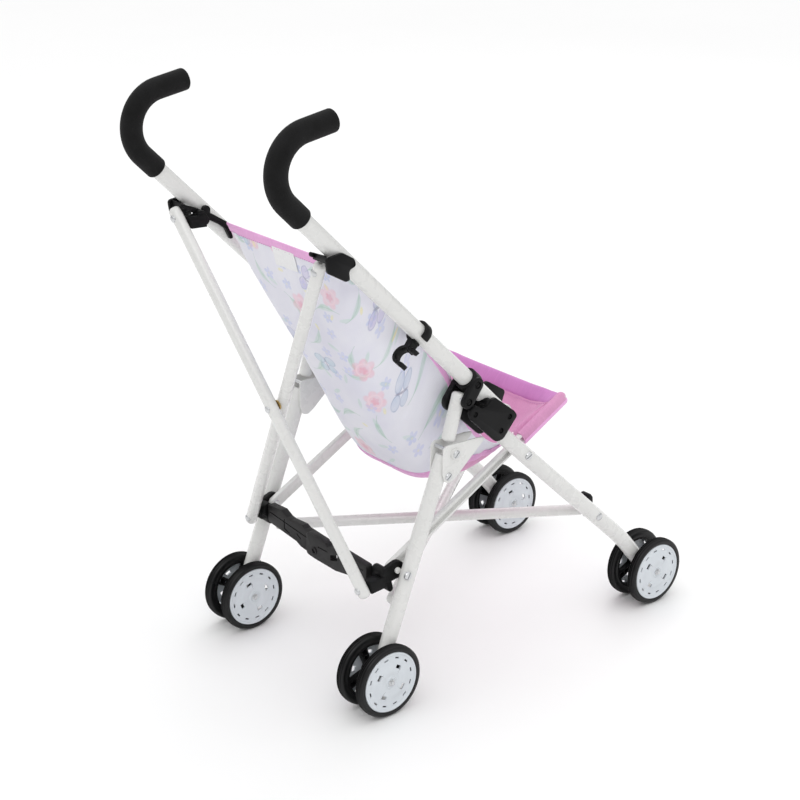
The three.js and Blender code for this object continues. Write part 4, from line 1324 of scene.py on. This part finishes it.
# ---- Floor, light and camera ----
CAMERA_PLACE = (-1.0886 + CENTRE_X * MM, -1.2539, 0.8825)
CAMERA_AIM = Vector((0.5899, 0.7207, -0.3641))
CAMERA_LENS = 80.46
LIGHTS_AIM = Vector((0, 0, 0.25))
FLOOR_HALF = 12


def placed_at(name, data, place, aim):
    """A light or a camera at a place, looking along aim."""
    holder = in_scene(name, data)
    holder.location = place
    holder.rotation_mode = "QUATERNION"
    holder.rotation_quaternion = aim.to_track_quat("-Z", "Y")
    return holder


def pale_floor():
    corners = rectangle(-FLOOR_HALF, FLOOR_HALF, -FLOOR_HALF, FLOOR_HALF)
    mesh = mesh_of([(x, y, 0) for x, y in corners], [[0, 1, 2, 3]])
    floor = in_scene("floor", mesh)
    g = Graph("pale_floor")
    tone = g.mix(g.noise(g.place(), 3.0), rgb(0.93, 0.93, 0.93), rgb(0.95, 0.95, 0.95))
    g.feed(g.shader.inputs["Base Color"], tone)
    g.set(Roughness=0.6)
    mesh.materials.append(g.material)


def studio():
    """An even white room, brighter overhead, with a key light and a rim light."""
    world = bpy.data.worlds.new("studio")
    bpy.context.scene.world = world
    world.use_nodes = True
    nodes, links = world.node_tree.nodes, world.node_tree.links
    sky = nodes.new("ShaderNodeTexCoord")
    parts = nodes.new("ShaderNodeSeparateXYZ")
    ramp = nodes.new("ShaderNodeMapRange")
    for name, value in (("From Min", 0.0), ("From Max", 0.9), ("To Min", 0.30), ("To Max", 1.35)):
        ramp.inputs[name].default_value = value
    links.new(sky.outputs["Generated"], parts.inputs[0])
    links.new(parts.outputs[2], ramp.inputs["Value"])
    links.new(ramp.outputs[0], nodes["Background"].inputs["Strength"])
    nodes["Background"].inputs["Color"].default_value = rgb(1, 1, 1)
    for name, place, power in (("key", (-1.3, -1.9, 2.2), 9), ("rim", (1.9, 1.2, 1.8), 6)):
        light = bpy.data.lights.new(name, "AREA")
        light.size = 1.2
        light.energy = power
        placed_at(name, light, place, LIGHTS_AIM - Vector(place))
    bpy.context.scene.view_settings.view_transform = "Standard"


def camera():
    data = bpy.data.cameras.new("camera")
    data.lens = CAMERA_LENS
    data.sensor_width = 36.0
    bpy.context.scene.camera = placed_at("camera", data, CAMERA_PLACE, CAMERA_AIM)


for build in (camera, pale_floor, studio, handles, hinge_clamps, elbow_boxes, front_legs, rear_legs,
              seat_rails, crossed_bars, top_brackets, bottom_brackets, front_blocks, spreader, transport_clip,
              wheels, back_panel, seat_lining, bindings, front_band, gussets, label, lap_belt):
    build()
